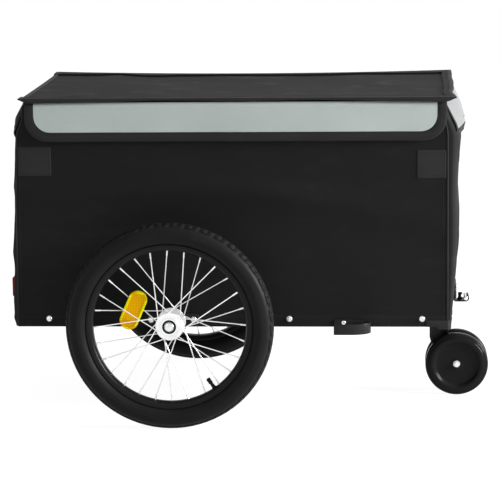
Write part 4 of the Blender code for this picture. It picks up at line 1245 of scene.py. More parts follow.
def along(points: Sequence[Vector], step: float) -> list[tuple[Vector, Vector]]:
    """Places at equal steps along a line of points.

    Args:
        points: The line.
        step: The distance between places.

    Returns:
        Each place with the line's direction there.
    """
    lengths = [0.0]
    for a, b in zip(points, points[1:]):
        lengths.append(lengths[-1] + (b - a).length)
    count = max(1, int(lengths[-1] / step))
    found = []
    piece = 0
    for i in range(count):
        target = (i + 0.5) * lengths[-1] / count
        while lengths[piece + 1] < target:
            piece += 1
        a, b = points[piece], points[piece + 1]
        share = (target - lengths[piece]) / max(1e-9, lengths[piece + 1] - lengths[piece])
        found.append((a.lerp(b, share), (b - a).normalized()))
    return found


def repeated(model: bpy.types.Object, places: Sequence[Matrix], name: str) -> bpy.types.Object:
    """Copy one modelled piece to many places, as one mesh, and delete the model.

    Args:
        model: The piece that is modelled once, at the origin.
        places: Where each copy goes.
        name: The name of the whole.

    Returns:
        The piece that holds every copy.
    """
    mesh = bmesh.new()
    for place in places:
        first = len(mesh.verts)
        mesh.from_mesh(model.data)
        mesh.verts.ensure_lookup_table()
        bmesh.ops.transform(mesh, matrix=place, verts=mesh.verts[first:])
    made = model.copy()
    made.data = model.data.copy()
    mesh.to_mesh(made.data)
    mesh.free()
    bpy.context.collection.objects.link(made)
    bpy.data.objects.remove(model)
    made.name = name
    return made


@dataclass(frozen=True)
class Stitching:
    """A row of stitches in thick thread."""

    pitch: float = 0.0042
    length: float = 0.0030
    thread: float = 0.00042
    finish: Finish = Finish.THREAD

    def row(self, name: str, lines: Sequence[Sequence[Vector]],
            outward: Callable[[Vector], Vector]) -> bpy.types.Object:
        """Sew along lines.

        Args:
            name: The piece's name.
            lines: The lines, on the face of the cloth.
            outward: Gives the cloth's outward direction at a point.

        Returns:
            The piece that holds every stitch.
        """
        bpy.ops.object.select_all(action="DESELECT")
        bpy.ops.mesh.primitive_uv_sphere_add(segments=6, ring_count=4, radius=1.0,
                                             scale=(self.length / 2, self.thread, self.thread))
        model = settle(new_piece(f"{name}_stitch"), self.finish, 60.0)
        places = []
        for line in lines:
            for point, way in along(line, self.pitch):
                up = outward(point)
                side = up.cross(way).normalized()
                frame = Matrix((way, side, side.cross(way) * -1.0)).transposed().to_4x4()
                places.append(Matrix.Translation(point + up * self.thread * 0.4) @ frame)
        return repeated(model, places, name)


# The box


@dataclass
class Box:
    """The fabric box: four walls with hems, patches, corner piping and bolts."""

    layout: Layout
    skin: float = 0.0025
    hem: float = 0.022
    hem_step: float = 0.0007
    sag: float = 0.0020
    front_line: tuple[Pair, ...] = (
        (0.187, 0.3850), (0.208, 0.3885), (0.220, 0.3902), (0.243, 0.3930), (0.267, 0.3950),
        (0.291, 0.3975), (0.315, 0.3988), (0.339, 0.4015), (0.360, 0.4023), (0.398, 0.4024),
        (0.421, 0.4008), (0.445, 0.3993), (0.468, 0.4000), (0.492, 0.4011), (0.515, 0.4032),
        (0.539, 0.4055), (0.555, 0.4052), (0.575, 0.4015), (0.590, 0.3955), (0.605, 0.3885),
        (0.6175, 0.3810))
    front_corner: float = 0.0028
    drawn_back: tuple[Pair, ...] = ((0.560, 0.0), (0.572, 0.0030), (0.580, 0.0052),
                                    (0.590, 0.0076), (0.600, 0.0090), (0.6175, 0.0095))
    rear_bulge: float = 0.005
    rear_line: tuple[Pair, ...] = (
        (0.187, 0.0050), (0.420, 0.0054), (0.460, 0.0062), (0.500, 0.0075), (0.530, 0.0085),
        (0.560, 0.0105), (0.5735, 0.0145), (0.588, 0.0222), (0.6175, 0.0232))
    fin: tuple[Pair, ...] = (
        (0.187, 0.0040), (0.1916, 0.0046), (0.2035, 0.0085), (0.2153, 0.0074), (0.239, 0.0082),
        (0.270, 0.0062), (0.298, 0.0046), (0.310, 0.0050), (0.333, 0.0075), (0.357, 0.0053),
        (0.392, 0.0032), (0.415, 0.0016), (0.4385, 0.0014), (0.4618, 0.0034), (0.485, 0.0016),
        (0.52, 0.0012), (0.56, 0.0016), (0.6175, 0.0014))
    bolts_x: tuple[float, ...] = (-0.2392, 0.2263, 0.4809)
    bolt_z: float = 0.2025
    bolt_radius: float = 0.0053
    piping: float = 0.0019

    def build(self) -> None:
        """Build and place every piece of the box."""
        for side, name in SIDES:
            wall = self.side_wall(side, name)
            put(wall, "trailer", "black_fabric", f"side_panel_{name}")
            for patch in self.patches(side, name):
                put(patch, "trailer", "black_fabric")
            put(self.side_stitching(side, name), "trailer", "black_fabric")
            put(self.side_bolts(side, name), "trailer", "bright_steel")
        front = self.end_wall("front_wall", self.front_face, AHEAD)
        rear = self.end_wall("rear_wall", self.rear_face, -AHEAD)
        put(front, "trailer", "black_fabric", "front_panel")
        put(rear, "trailer", "black_fabric", "rear_panel")
        put(self.end_stitching(), "trailer", "black_fabric")
        put(self.corner_piping(), "trailer", "black_fabric")
        for side, name in SIDES:
            put(self.rear_fin(side, name), "trailer", "black_fabric")
            put(self.corner_tab(side, name), "trailer", "black_fabric")

    def share(self, z: float) -> float:
        """How far up a wall a height is, from 0 to 1."""
        return clamp((z - self.layout.body_bottom) / self.layout.wall_height)

    def rear_x(self, z: float) -> float:
        """The rear wall's corner line, which leans in towards the cover."""
        return self.layout.body_rear + read(self.rear_line, z)

    def hem_rise(self, z: float) -> float:
        """How far the doubled cloth of the hem stands proud at a height."""
        top = self.layout.body_bottom + self.hem
        return self.hem_step * clamp((top - z) / 0.0012)

    def wall_rows(self, count: int) -> list[float]:
        """A wall's grid rows, close together at its hem and even above it."""
        share = self.hem / self.layout.wall_height
        return [0.0, 0.012, share - 0.0028, share] + even(count, share + 0.012, 1.0)

    def side_y(self, x: float, z: float, side: int) -> float:
        """How far out a side wall's face is: stretched, with long soft folds.

        Args:
            x: Metres forward of the axle.
            z: Height.
            side: -1 on the right, 1 on the left.

        Returns:
            The distance from the middle of the trailer.
        """
        lay = self.layout
        v = self.share(z)
        u = (lay.fore(x) - lay.body_rear) / (lay.seam_x - lay.body_rear)
        hold = math.sin(math.pi * clamp(u)) ** 0.5
        hold *= clamp((z - lay.body_bottom - 0.028) / 0.06) * clamp((lay.panel_top - z) / 0.05)
        ridge = 0.565 + 0.055 * math.sin(3.2 * u + 0.4) - 0.10 * (u - 0.3) ** 2
        long_fold = hump(v, ridge, 0.055)
        lower = hump(v, ridge - 0.20 + 0.08 * u, 0.075)
        cross = hump(v, 0.86 - 0.42 * u, 0.05) * hump(u, 0.45, 0.3)
        ripple = math.sin(23.0 * u + 5.0 * v) * math.sin(7.0 * v + 2.0 * u + 0.8 * side)
        folds = 0.0052 * long_fold - 0.0036 * lower + 0.0014 * cross + 0.0005 * ripple
        return lay.body_side + hold * (folds - self.sag * 0.55)

    def side_wall(self, side: int, name: str) -> bpy.types.Object:
        """One side wall with its hem, folds and doubled edges."""
        lay = self.layout

        def place(u: float, v: float) -> Vector:
            z = lay.body_bottom + lay.wall_height * v
            low = self.rear_x(z) + 0.0006
            high = lay.seam_x - 0.5 * read(self.drawn_back, z)
            x = low + (high - low) * (u + 1) / 2
            y = self.side_y(x - lay.axle_x, z, side) + self.hem_rise(z)
            return Vector((x, side * y, z))
        return sheet_of(f"side_wall_{name}", even(110), self.wall_rows(64), place,
                        (lay.seam_x - lay.body_rear, lay.wall_height), self.skin,
                        Vector((0, side, 0)), Finish.BODY_CLOTH)

    def front_face(self, y: float, z: float) -> float:
        """X of the front wall's face: round corners, a full belly and upright folds."""
        lay = self.layout
        v = self.share(z)
        across = min(1.0, abs(y) / lay.body_side)
        corner = lay.seam_x + self.front_corner
        bow = read(self.front_line, z) - corner
        fold = 0.0030 * hump(across, 0.90 + 0.9 * (v - 0.80), 0.030) * hump(v, 0.77, 0.07)
        fold += 0.0026 * hump(across, 0.86 - 0.30 * (v - 0.40), 0.035) * hump(v, 0.38, 0.14)
        fold -= 0.0012 * hump(across, 0.76 - 0.04 * math.sin(7 * v + 1), 0.045)
        fold += 0.0012 * hump(across, 0.45 - 0.06 * math.sin(5 * v), 0.06)
        hold = math.sin(math.pi * clamp((v - 0.06) / 0.94))
        back = read(self.drawn_back, z) * across ** 4
        return corner + bow * (1 - across ** 4) ** 0.25 + fold * hold - back + self.hem_rise(z)

    def rear_face(self, y: float, z: float) -> float:
        """X of the rear wall's face, bulged a little between its corners, with soft folds."""
        v = self.share(z)
        across = abs(y) / self.layout.body_side
        belly = self.rear_bulge * (1 - across ** 4) * math.sin(math.pi * v)
        fold = 0.0012 * math.sin(11 * v + 2.5 * y / self.layout.body_side)
        fold *= math.sin(math.pi * v) * (1 - across ** 6)
        return self.rear_x(z) - belly + fold * 0.8 - self.hem_rise(z)

    def end_wall(self, name: str, face: Callable[[float, float], float],
                 outward: Vector) -> bpy.types.Object:
        """The front or rear wall.

        Args:
            name: The piece's name.
            face: Gives X at a point of its face.
            outward: The side that shows.

        Returns:
            The piece.
        """
        lay = self.layout

        def place(u: float, v: float) -> Vector:
            y, z = u * lay.body_side, lay.body_bottom + lay.wall_height * v
            return Vector((face(y, z), y, z))
        columns = [math.sin(u * math.pi / 2) for u in even(76)]
        return sheet_of(name, columns, self.wall_rows(56), place,
                        (2 * lay.body_side, lay.wall_height), self.skin, outward,
                        Finish.BODY_CLOTH)

    def patches(self, side: int, name: str) -> list[bpy.types.Object]:
        """The two square patches that hold the box to its posts, with a stitched border."""
        lay = self.layout
        made = []
        for end, low_x, high_x, low_z, high_z in (("rear", -0.2935, -0.2285, 0.481, 0.537),
                                                  ("front", 0.4715, 0.5265, 0.475, 0.529)):
            def place(u: float, v: float) -> Vector:
                x = low_x + (high_x - low_x) * (u + 1) / 2
                z = low_z + (high_z - low_z) * v
                lift = 0.0011 if abs(u) < 0.97 and 0.02 < v < 0.98 else 0.0006
                puff = 0.0006 * math.sin(math.pi * v) * math.cos(u * math.pi / 2)
                return Vector((lay.fore(x), side * (self.side_y(x, z, side) + lift + puff), z))
            columns = [-1.0, -0.96] + even(12, -0.9, 0.9) + [0.96, 1.0]
            rows = [0.0, 0.02] + even(10, 0.05, 0.95) + [0.98, 1.0]
            patch = sheet_of(f"post_patch_{end}_{name}", columns, rows, place,
                             (high_x - low_x, high_z - low_z), 0.0005, Vector((0, side, 0)),
                             Finish.PATCH)
            edge, low, high = 0.92, 0.06, 0.94
            loop = [place(u, v) for u, v in
                    [(t, low) for t in even(8, -edge, edge)]
                    + [(edge, t) for t in even(6, low, high)]
                    + [(t, high) for t in even(8, edge, -edge)]
                    + [(-edge, t) for t in even(6, high, low)]]
            seam = Stitching(pitch=0.0036, length=0.0026).row(
                f"patch_seam_{end}_{name}", [loop], lambda p: Vector((0.0, float(side), 0.0)))
            made.append(joined([patch, seam], patch.name))
        return made

    def side_stitching(self, side: int, name: str) -> bpy.types.Object:
        """Two rows of stitches in the hem and one beside each upright edge."""
        lay = self.layout

        def face(x: float, z: float) -> Vector:
            return Vector((lay.fore(x), side * (self.side_y(x, z, side) + self.hem_rise(z)), z))
        low_x, high_x = lay.body_rear - lay.axle_x + 0.012, lay.seam_x - lay.axle_x - 0.004
        lines = [[face(x, lay.body_bottom + h) for x in even(90, low_x, high_x)]
                 for h in (0.0030, self.hem - 0.0035)]
        top = lay.panel_top - 0.005
        upright = even(60, lay.body_bottom + 0.004, top)
        lines.append([face(high_x - 0.003, z) for z in upright])
        lines.append([face(self.rear_x(z) - lay.axle_x + 0.007, z) for z in upright])
        return Stitching().row(f"side_stitches_{name}", lines,
                               lambda p: Vector((0.0, float(side), 0.0)))

    def end_stitching(self) -> bpy.types.Object:
        """The hem's stitches on the front and rear walls."""
        lay = self.layout
        reach = lay.body_side * 0.93
        lines = [[Vector((face(y, lay.body_bottom + h), y, lay.body_bottom + h))
                  for y in even(60, -reach, reach)]
                 for face in (self.front_face, self.rear_face)
                 for h in (0.003, self.hem - 0.0035)]
        return Stitching().row("end_stitches", lines,
                               lambda p: AHEAD if p.x > lay.axle_x else -AHEAD)

    def corner_piping(self) -> bpy.types.Object:
        """Piped seams up the box's four corners."""
        lay = self.layout
        heights = even(36, lay.body_bottom + 0.001, lay.panel_top - 0.003)
        seams = {"front": lambda z: lay.seam_x + 0.0014 - 0.8 * read(self.drawn_back, z),
                 "rear": lambda z: self.rear_x(z) + 0.0002}
        rods = []
        for side in (-1, 1):
            for end, seam in seams.items():
                points = [(seam(z), side * (lay.body_side - 0.0006), z) for z in heights]
                rods.append(bent_rod(f"piping_{end}_{side}", points,
                                     [self.piping] * len(points), 8, Finish.BINDING))
        return joined(rods, "corner_piping")

    def rear_fin(self, side: int, name: str) -> bpy.types.Object:
        """The wavy bound seam that stands out behind a rear corner."""
        lay = self.layout

        def place(u: float, v: float) -> Vector:
            z = lay.body_bottom + 0.001 + (lay.wall_height - 0.004) * v
            reach = read(self.fin, z)
            lean = 0.0009 * math.sin(31.0 * z + side) * (u + 1) / 2
            return Vector((self.rear_x(z) + 0.001 - (reach + 0.001) * (u + 1) / 2,
                           side * (lay.body_side - 0.0004 + lean), z))
        return sheet_of(f"rear_fin_{name}", even(4), even(80, 0.0, 1.0), place,
                        (0.006, lay.wall_height), 0.0022, Vector((0, side, 0)),
                        Finish.BINDING)

    def corner_tab(self, side: int, name: str) -> bpy.types.Object:
        """The end of the front wall's hem, folded round the corner onto the side wall."""
        lay = self.layout
        along_side, across_front = 0.0420, 0.0340
        top, lift = lay.body_bottom + 0.0125, 0.0012

        def place(u: float, v: float) -> Vector:
            run = (u + 1) / 2 * (along_side + across_front)
            drop = 0.0048 * clamp((run - 0.0190) / 0.0040)
            z = lay.body_bottom - drop + (top - lay.body_bottom + drop) * v
            if run <= along_side:
                x = lay.seam_x + self.front_corner - along_side + run
                level = max(z, lay.body_bottom)
                reach = self.side_y(x - lay.axle_x, level, side) + self.hem_step + lift
                reach += 0.0016 * math.sin(math.pi * v) * min(1.0, run / 0.008)
                return Vector((x, side * reach, z))
            y = lay.body_side + lift - (run - along_side)
            face = self.front_face(y, max(z, lay.body_bottom)) + lift
            return Vector((face, side * y, z))
        return sheet_of(f"corner_tab_{name}", even(60), even(6, 0.0, 1.0), place,
                        (along_side + across_front, 0.0170), 0.0010,
                        Vector((0.4, side, 0)), Finish.BINDING)

    def side_bolts(self, side: int, name: str) -> bpy.types.Object:
        """The domed bolts that hold the wall to the ladder frame."""
        lay = self.layout
        bolts = []
        for x in self.bolts_x:
            y = side * (self.side_y(x, self.bolt_z, side) + self.hem_step)
            bolts.append(dome_bolt(f"bolt_{x}", (lay.fore(x), y, self.bolt_z),
                                   Vector((0, side, 0)), self.bolt_radius, Finish.CHROME))
        return joined(bolts, f"side_bolts_{name}")


# The cover


class Edge(Enum):
    """The sides of the cover that a flap hangs from."""

    RIGHT = "right"
    LEFT = "left"
    FRONT = "front"
    REAR = "rear"


@dataclass
class Flap:
    """One hanging flap: its cloth, the light tape in it, its binding and its seams."""

    edge: Edge
    binding: float = 0.0175
    end_binding: float = 0.0175
    corner: float = 0.044
    tape_corner: float = 0.031
    tuck: float = 0.0042        # how far the flap runs up behind the cover's lip
    wrap: float = 0.0215        # how far the front flap's ends fall back
    wrap_start: float = 0.50    # share of its half width where they start to
    rear_turn: float = 0.0130   # width of the rear flap's cloth that turns round the corner
    rear_fold: tuple[Pair, ...] = ((0.0, 0.0), (0.12, 0.0040), (0.35, 0.0095), (0.60, 0.0070),
                                   (0.85, 0.0030), (1.0, 0.0))
    tape_lift: float = 0.0006
    binding_lift: float = 0.0010
    rear_line: tuple[Pair, ...] = ((0.548, -0.4548), (0.563, -0.4546), (0.590, -0.4504),
                                   (0.605, -0.4425), (0.6224, -0.4325))
    front_line: tuple[Pair, ...] = ((0.548, 0.4085), (0.555, 0.4105), (0.565, 0.4128),
                                    (0.572, 0.4125), (0.5784, 0.4103), (0.6144, 0.3944),
                                    (0.6224, 0.3905))
    low: Vector = field(init=False)
    high: Vector = field(init=False)

    def __post_init__(self) -> None:
        """Read the flap's box; the front flap is shorter and has sharp corners."""
        self.low, self.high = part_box(f"flap_{self.edge.value}")
        self.high.z += self.tuck
        if self.edge is Edge.FRONT:
            self.low.z += 0.0035
            self.corner, self.tape_corner = 0.010, 0.003
            self.binding, self.end_binding = 0.0160, 0.0075

    @property
    def half(self) -> float:
        """Half the flap's width."""
        size = self.high - self.low
        return (size.x if self.edge in (Edge.RIGHT, Edge.LEFT) else size.y) / 2

    @property
    def outward(self) -> Vector:
        """The direction that the flap faces."""
        return {Edge.RIGHT: Vector((0, -1, 0)), Edge.LEFT: Vector((0, 1, 0)),
                Edge.FRONT: AHEAD, Edge.REAR: Vector((-1, 0, 0))}[self.edge]

    def wave(self, a: float, z: float) -> float:
        """How far the hanging cloth stands off its flat place."""
        down = (self.high.z - z) / (self.high.z - self.low.z)
        t = a / self.half
        phase = {Edge.RIGHT: 0.3, Edge.LEFT: 1.9, Edge.FRONT: 0.8, Edge.REAR: 2.6}[self.edge]
        swing = math.sin(6.1 * t + phase) * 0.6 + math.sin(13.7 * t + 2.0 * phase) * 0.4
        return down ** 1.5 * 0.0013 * swing

    def face(self, a: float, z: float, lift: float = 0.0) -> Vector:
        """A point on the flap.

        Args:
            a: Metres along its edge from its middle.
            z: Height.
            lift: Metres off its outer face.

        Returns:
            The point.
        """
        out = self.wave(a, z) + lift
        tucked = max(0.0, z - self.high.z + self.tuck + 0.001)
        if self.edge in (Edge.RIGHT, Edge.LEFT):
            way = self.outward.y
            face = -self.low.y if way < 0 else self.high.y
            middle = (self.low.x + self.high.x) / 2
            return Vector((middle + a, way * (face - HAIR + out - 0.75 * tucked), z))
        share = max(0.0, abs(a) / self.half - self.wrap_start) / (1 - self.wrap_start)
        down = (self.high.z - z) / (self.high.z - self.low.z)
        if self.edge is Edge.FRONT:
            behind = self.wrap * (1 - 0.20 * down) * share ** 1.2
            x = read(self.front_line, z) - behind
            return Vector((x + out - 0.5 * tucked, a, z))
        turned = max(0.0, abs(a) - self.half + self.rear_turn) / self.rear_turn
        forward = read(self.rear_fold, down) * turned
        x = read(self.rear_line, z) + forward
        return Vector((x - out * (1 - turned), math.copysign(abs(a) - 0.004 * turned, a), z))

    def flat(self, half: float, low: float) -> tuple[float, float]:
        """The flat size of a sheet laid on the flap, measured along its middle lines.

        Args:
            half: Half its width along the flap's edge.
            low: Its lower edge's height.

        Returns:
            Its width and its height.
        """
        across = [self.face(half * u, (low + self.high.z) / 2) for u in even(96)]
        upward = [self.face(0.0, z) for z in even(24, low, self.high.z)]
        width, height = (sum((b - a).length for a, b in zip(line, line[1:]))
                         for line in (across, upward))
        return width, height

    def levels(self, corner: float, low: float, high: float) -> list[tuple[float, float]]:
        """The rows of a sheet with round lower corners.

        Args:
            corner: The corners' radius.
            low: The lower edge's height.
            high: The upper edge's height.

        Returns:
            Each row's height, and how much narrower it is at each end.
        """
        rows = []
        for i in range(9):
            t = math.pi / 2 * i / 8
            rows.append((low + corner * (1 - math.cos(t)), corner * (1 - math.sin(t))))
        rows += [(z, 0.0) for z in even(8, low + corner, high)[1:]]
        return rows

    def cut(self, name: str, half: float, corner: float, low: float, high: float,
            lift: float, wall: float, finish: Finish) -> bpy.types.Object:
        """A sheet with round lower corners, laid on the flap.

        Args:
            name: The piece's name.
            half: Half its width.
            corner: The corners' radius.
            low: Its lower edge.
            high: Its upper edge.
            lift: How far its face is off the flap's.
            wall: Its thickness.
            finish: What it is dressed in.

        Returns:
            The piece.
        """
        levels = self.levels(corner, low, high)
        rows = [(z - low) / (high - low) for z, _ in levels]
        narrowing = dict(zip(rows, (cut for _, cut in levels)))

        def place(u: float, v: float) -> Vector:
            return self.face(u * (half - narrowing[v]), low + (high - low) * v, lift)
        return sheet_of(name, even(96), rows, place, (2 * half, high - low), wall,
                        self.outward, finish)

    def border(self, inset: float, low: float, high: float, corner: float) -> list:
        """The flap's edge line with its inward direction, down one end and up the other.

        Args:
            inset: How far inside the flap's ends the line runs.
            low: The line's lowest height.
            high: The line's highest height.
            corner: The radius of its corners.

        Returns:
            The places along the edge and up, with the inward direction in the same terms.
        """
        half = self.half - inset
        line = [((-half, z), (1.0, 0.0)) for z in even(6, high, low + corner)]
        for i in range(1, 10):
            t = math.radians(180 + 90 * i / 9)
            line.append(((-half + corner + corner * math.cos(t),
                          low + corner + corner * math.sin(t)), (-math.cos(t), -math.sin(t))))
        line += [((a, low), (0.0, 1.0)) for a in even(80, -half + corner, half - corner)[1:-1]]
        mirrored = [((-a, z), (-n, m)) for (a, z), (n, m) in reversed(line[:16])]
        return line + mirrored

    def bound_edge(self) -> bpy.types.Object:
        """The woven binding folded over the flap's outer edge."""
        line = self.border(-0.0006, self.low.z - 0.0004, self.high.z, self.corner)
        across = [0.0, 0.08, 0.5, 0.92, 1.0]
        lifts = [0.0001, 0.8, 1.0, 0.8, 0.1]

        def place(u: float, v: float) -> Vector:
            (a, z), (n, m) = line[round((u + 1) / 2 * (len(line) - 1))]
            lift = float(np.interp(v, across, lifts)) * self.binding_lift
            return self.face(a + n * v * (self.end_binding + 0.0004),
                             z + m * v * (self.binding + 0.0004), lift)
        length = 2 * self.half + 2 * (self.high.z - self.low.z)
        return sheet_of(f"flap_binding_{self.edge.value}", even(len(line) - 1), across, place,
                        (length, self.binding), 0.0012, self.outward, Finish.BINDING)

    def seams(self) -> bpy.types.Object:
        """Two rows of stitches that hold the binding and the tape."""
        lines = []
        for inset, rise in ((0.0022, 0.0022),
                            (self.end_binding - 0.0022, self.binding - 0.0022)):
            line = self.border(inset, self.low.z + rise, self.high.z - 0.001,
                               max(0.002, self.corner - rise))
            lines.append([self.face(a, z, self.binding_lift) for (a, z), _ in line])
        return Stitching(pitch=0.0038, length=0.0028).row(
            f"flap_seams_{self.edge.value}", lines, lambda p: self.outward)

    def build(self) -> None:
        """Build and place the flap's pieces."""
        body = "trailer" if self.edge is Edge.REAR else "cover"
        key = self.edge.value
        cloth = self.cut(f"flap_cloth_{key}", self.half, self.corner, self.low.z, self.high.z,
                         0.0, 0.0014, Finish.BODY_CLOTH)
        tape = self.cut(f"flap_tape_{key}", self.half - self.end_binding, self.tape_corner,
                        self.low.z + self.binding, self.high.z, self.tape_lift, 0.0005,
                        Finish.FRONT_TAPE if self.edge is Edge.FRONT else Finish.TAPE)
        put(cloth, body, "black_fabric", f"flap_{key}")
        put(tape, body, "light_strip", f"strip_{key}")
        put(self.bound_edge(), body, "black_fabric")
        put(self.seams(), body, "black_fabric")
        self.flat(self.half, self.low.z)
        self.flat(self.half - self.end_binding, self.low.z + self.binding)


@dataclass
class Cover:
    """The fabric cover: a top sheet with pulled-in edges, a bound rim and four flaps."""

    pull: float = 0.005         # how far the long edges are drawn in between the corners
    end_pull: float = 0.0010    # the same for the front and rear edges
    front_tuck: float = 0.0062  # how far the front edge is drawn in beside its near corner
    sag: float = 0.004
    wall: float = 0.0025
    lip: float = 0.0036         # how far the lip hangs down in the middle of an edge
    lip_ends: float = 0.0052    # how much more near its ends, before it runs out at the tips
    lip_across: float = 0.35    # the front and rear lip's depth, as a share of the sides'
    hem_width: float = 0.042
    front_hem: float = 0.0205
    hem_step: float = 0.0036
    far_dip: float = 0.0050     # how far the left edge hangs through between its corners
    low: Vector = field(init=False)
    high: Vector = field(init=False)

    def __post_init__(self) -> None:
        """Read the cover's box."""
        self.low, self.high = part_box("cover_top")

    def build(self) -> None:
        """Build and place the cover's pieces."""
        top = self.top_sheet()
        put(top, "cover", "cover_fabric", "cover_top")
        put(self.bound_rim(), "cover", "black_fabric")
        put(self.seams(), "cover", "black_fabric")
        put(self.corner_tacks(), "cover", "black_fabric")
        for edge in Edge:
            Flap(edge).build()

    @property
    def half_x(self) -> float:
        """Half the cover's length."""
        return (self.high.x - self.low.x) / 2

    def face(self, a: float, b: float, lift: float = 0.0) -> Vector:
        """A point on the cover's top face.

        Args:
            a: Its place along the cover, from -1 at the rear to 1 in front.
            b: Its place across, from -1 on the right to 1 on the left.
            lift: Metres above the face.

        Returns:
            The point.
        """
        x = (self.high.x + self.low.x) / 2 + a * (self.half_x - self.end_pull * (1 - b * b))
        y = b * (self.high.y - self.pull * (1 - a * a))
        dip = self.sag * (1 - a * a) * (1 - b * b)
        dip += self.far_dip * (1 - a * a) * b ** 6 * (0.10 + 0.90 * (b > 0))
        fold = math.sin(9.0 * a + 3.0 * b) * 0.4 + math.sin(21.0 * a - 4.0 * b + 1.0) * 0.2
        fold += hump(a, 0.06 * b - 0.72, 0.06) * 2.6
        fold -= hump(a, 0.10 * b - 0.56, 0.09) * 1.6
        fold += hump(a, 0.72 - 0.20 * b, 0.10) * 1.2
        hold = (1 - a ** 8) * (1 - b ** 8)
        ends = 0.0008 * math.sin(9.0 * b + 0.6) * (1 - b * b)
        ends -= self.front_tuck * hump(b, -0.64, 0.20) * (1 - b ** 8)
        ends *= max(0.0, a) ** 12
        edge_b = (abs(b) - 1 + self.hem_width / self.high.y) * self.high.y
        edge_a = (a - 1 + self.front_hem / self.half_x) * self.half_x
        doubled = self.hem_step * clamp(max(edge_a, edge_b) / 0.0012)
        height = self.high.z - 0.0012 - dip + 0.0011 * fold * hold + doubled
        return Vector((x + ends, y, height + lift))

    def top_sheet(self) -> bpy.types.Object:
        """The cover's top sheet, stretched over the frame with shallow folds."""
        inset = 0.996

        def place(u: float, v: float) -> Vector:
            return self.face(u * inset, (2 * v - 1) * inset)
        fold_b = 1 - self.hem_width / self.high.y
        fold_a = 1 - self.front_hem / self.half_x
        rows = [0.5 + way * (fold_b + step) / 2 / inset
                for way in (-1, 1) for step in (0.0, 0.0045)]
        columns = [(fold_a + step) / inset for step in (0.0, 0.0030)]
        return sheet_of("cover_sheet", sorted(even(120) + columns),
                        sorted(even(84, 0.0, 1.0) + rows), place,
                        (self.high.x - self.low.x, self.high.y - self.low.y), self.wall - 0.0008,
                        UP, Finish.COVER_CLOTH)

    def rim_line(self) -> list[tuple[float, float]]:
        """The places of the cover's edge, once round from the rear right corner."""
        length, width = even(60), even(44)[1:]
        return ([(t, -1.0) for t in length] + [(1.0, t) for t in width]
                + [(-t, 1.0) for t in length[1:]] + [(-1.0, -t) for t in width])

    def bound_rim(self) -> bpy.types.Object:
        """The binding that is folded over the cover's edge and hangs down as its lip."""
        line = self.rim_line()
        section = [(-0.0085, -0.0004, 0), (-0.0080, 0.0004, 0), (-0.0020, 0.0008, 0),
                   (0.0004, 0.0005, 0), (0.0010, -0.0003, 0), (0.0010, -0.0006, 1),
                   (0.0002, -0.0012, 1)]
        steps = [i / (len(section) - 1) for i in range(len(section))]

        def place(u: float, v: float) -> Vector:
            a, b = line[round((u + 1) / 2 * (len(line) - 1))]
            inward, rise, hangs = section[round(v * (len(section) - 1))]
            point = self.face(a, b)
            end = min(abs(a), abs(b))
            waver = 0.0009 * math.sin(9.0 * a + 5.0 * b)
            depth = self.lip + self.lip_ends * end ** 3 + waver * (1 - end ** 4)
            if abs(a) > abs(b):
                depth *= self.lip_across
            rise -= hangs * depth * min(1.0, (1 - end) / 0.045) ** 0.8
            shift_a = -inward / self.half_x * (1 if abs(a) >= 1.0 - 1e-9 else abs(a) ** 24)
            shift_b = -inward / self.high.y * (1 if abs(b) >= 1.0 - 1e-9 else abs(b) ** 24)
            moved = self.face(a * (1 - shift_a), b * (1 - shift_b))
            return Vector((moved.x, moved.y, point.z + rise))
        length = 2 * (self.high.x - self.low.x + self.high.y - self.low.y)
        return sheet_of("cover_binding", even(len(line) - 1), steps, place, (length, 0.022),
                        0.0010, UP, Finish.BINDING)

    def seams(self) -> bpy.types.Object:
        """The seam along the front band and the stitches beside the binding."""
        lines = []
        side = 1 - (self.hem_width - 0.004) / self.high.y
        front = 1 - (self.front_hem - 0.004) / self.half_x
        for a, b in ((0.984, 0.976), (front, side)):
            for way in (-1, 1):
                lines.append([self.face(t, way * b) for t in even(90, -a, a)])
                lines.append([self.face(way * a, t) for t in even(60, -b, b)])
        return Stitching().row("cover_stitches", lines, lambda p: UP)

    def corner_tacks(self) -> bpy.types.Object:
        """Short bar tacks where the posts' pockets are sewn in at the four corners."""
        tacks = []
        for a in (-0.925, 0.915):
            for b in (-0.80, 0.80):
                for k in range(7):
                    middle = self.face(a + 0.004 * (k - 3), b, 0.0004)
                    tacks.append([middle + Vector((0.0, t, 0.0)) for t in (-0.003, 0.003)])
        return Stitching(pitch=0.006, length=0.0058, thread=0.0006).row(
            "corner_tacks", tacks, lambda p: UP)


# Steelwork


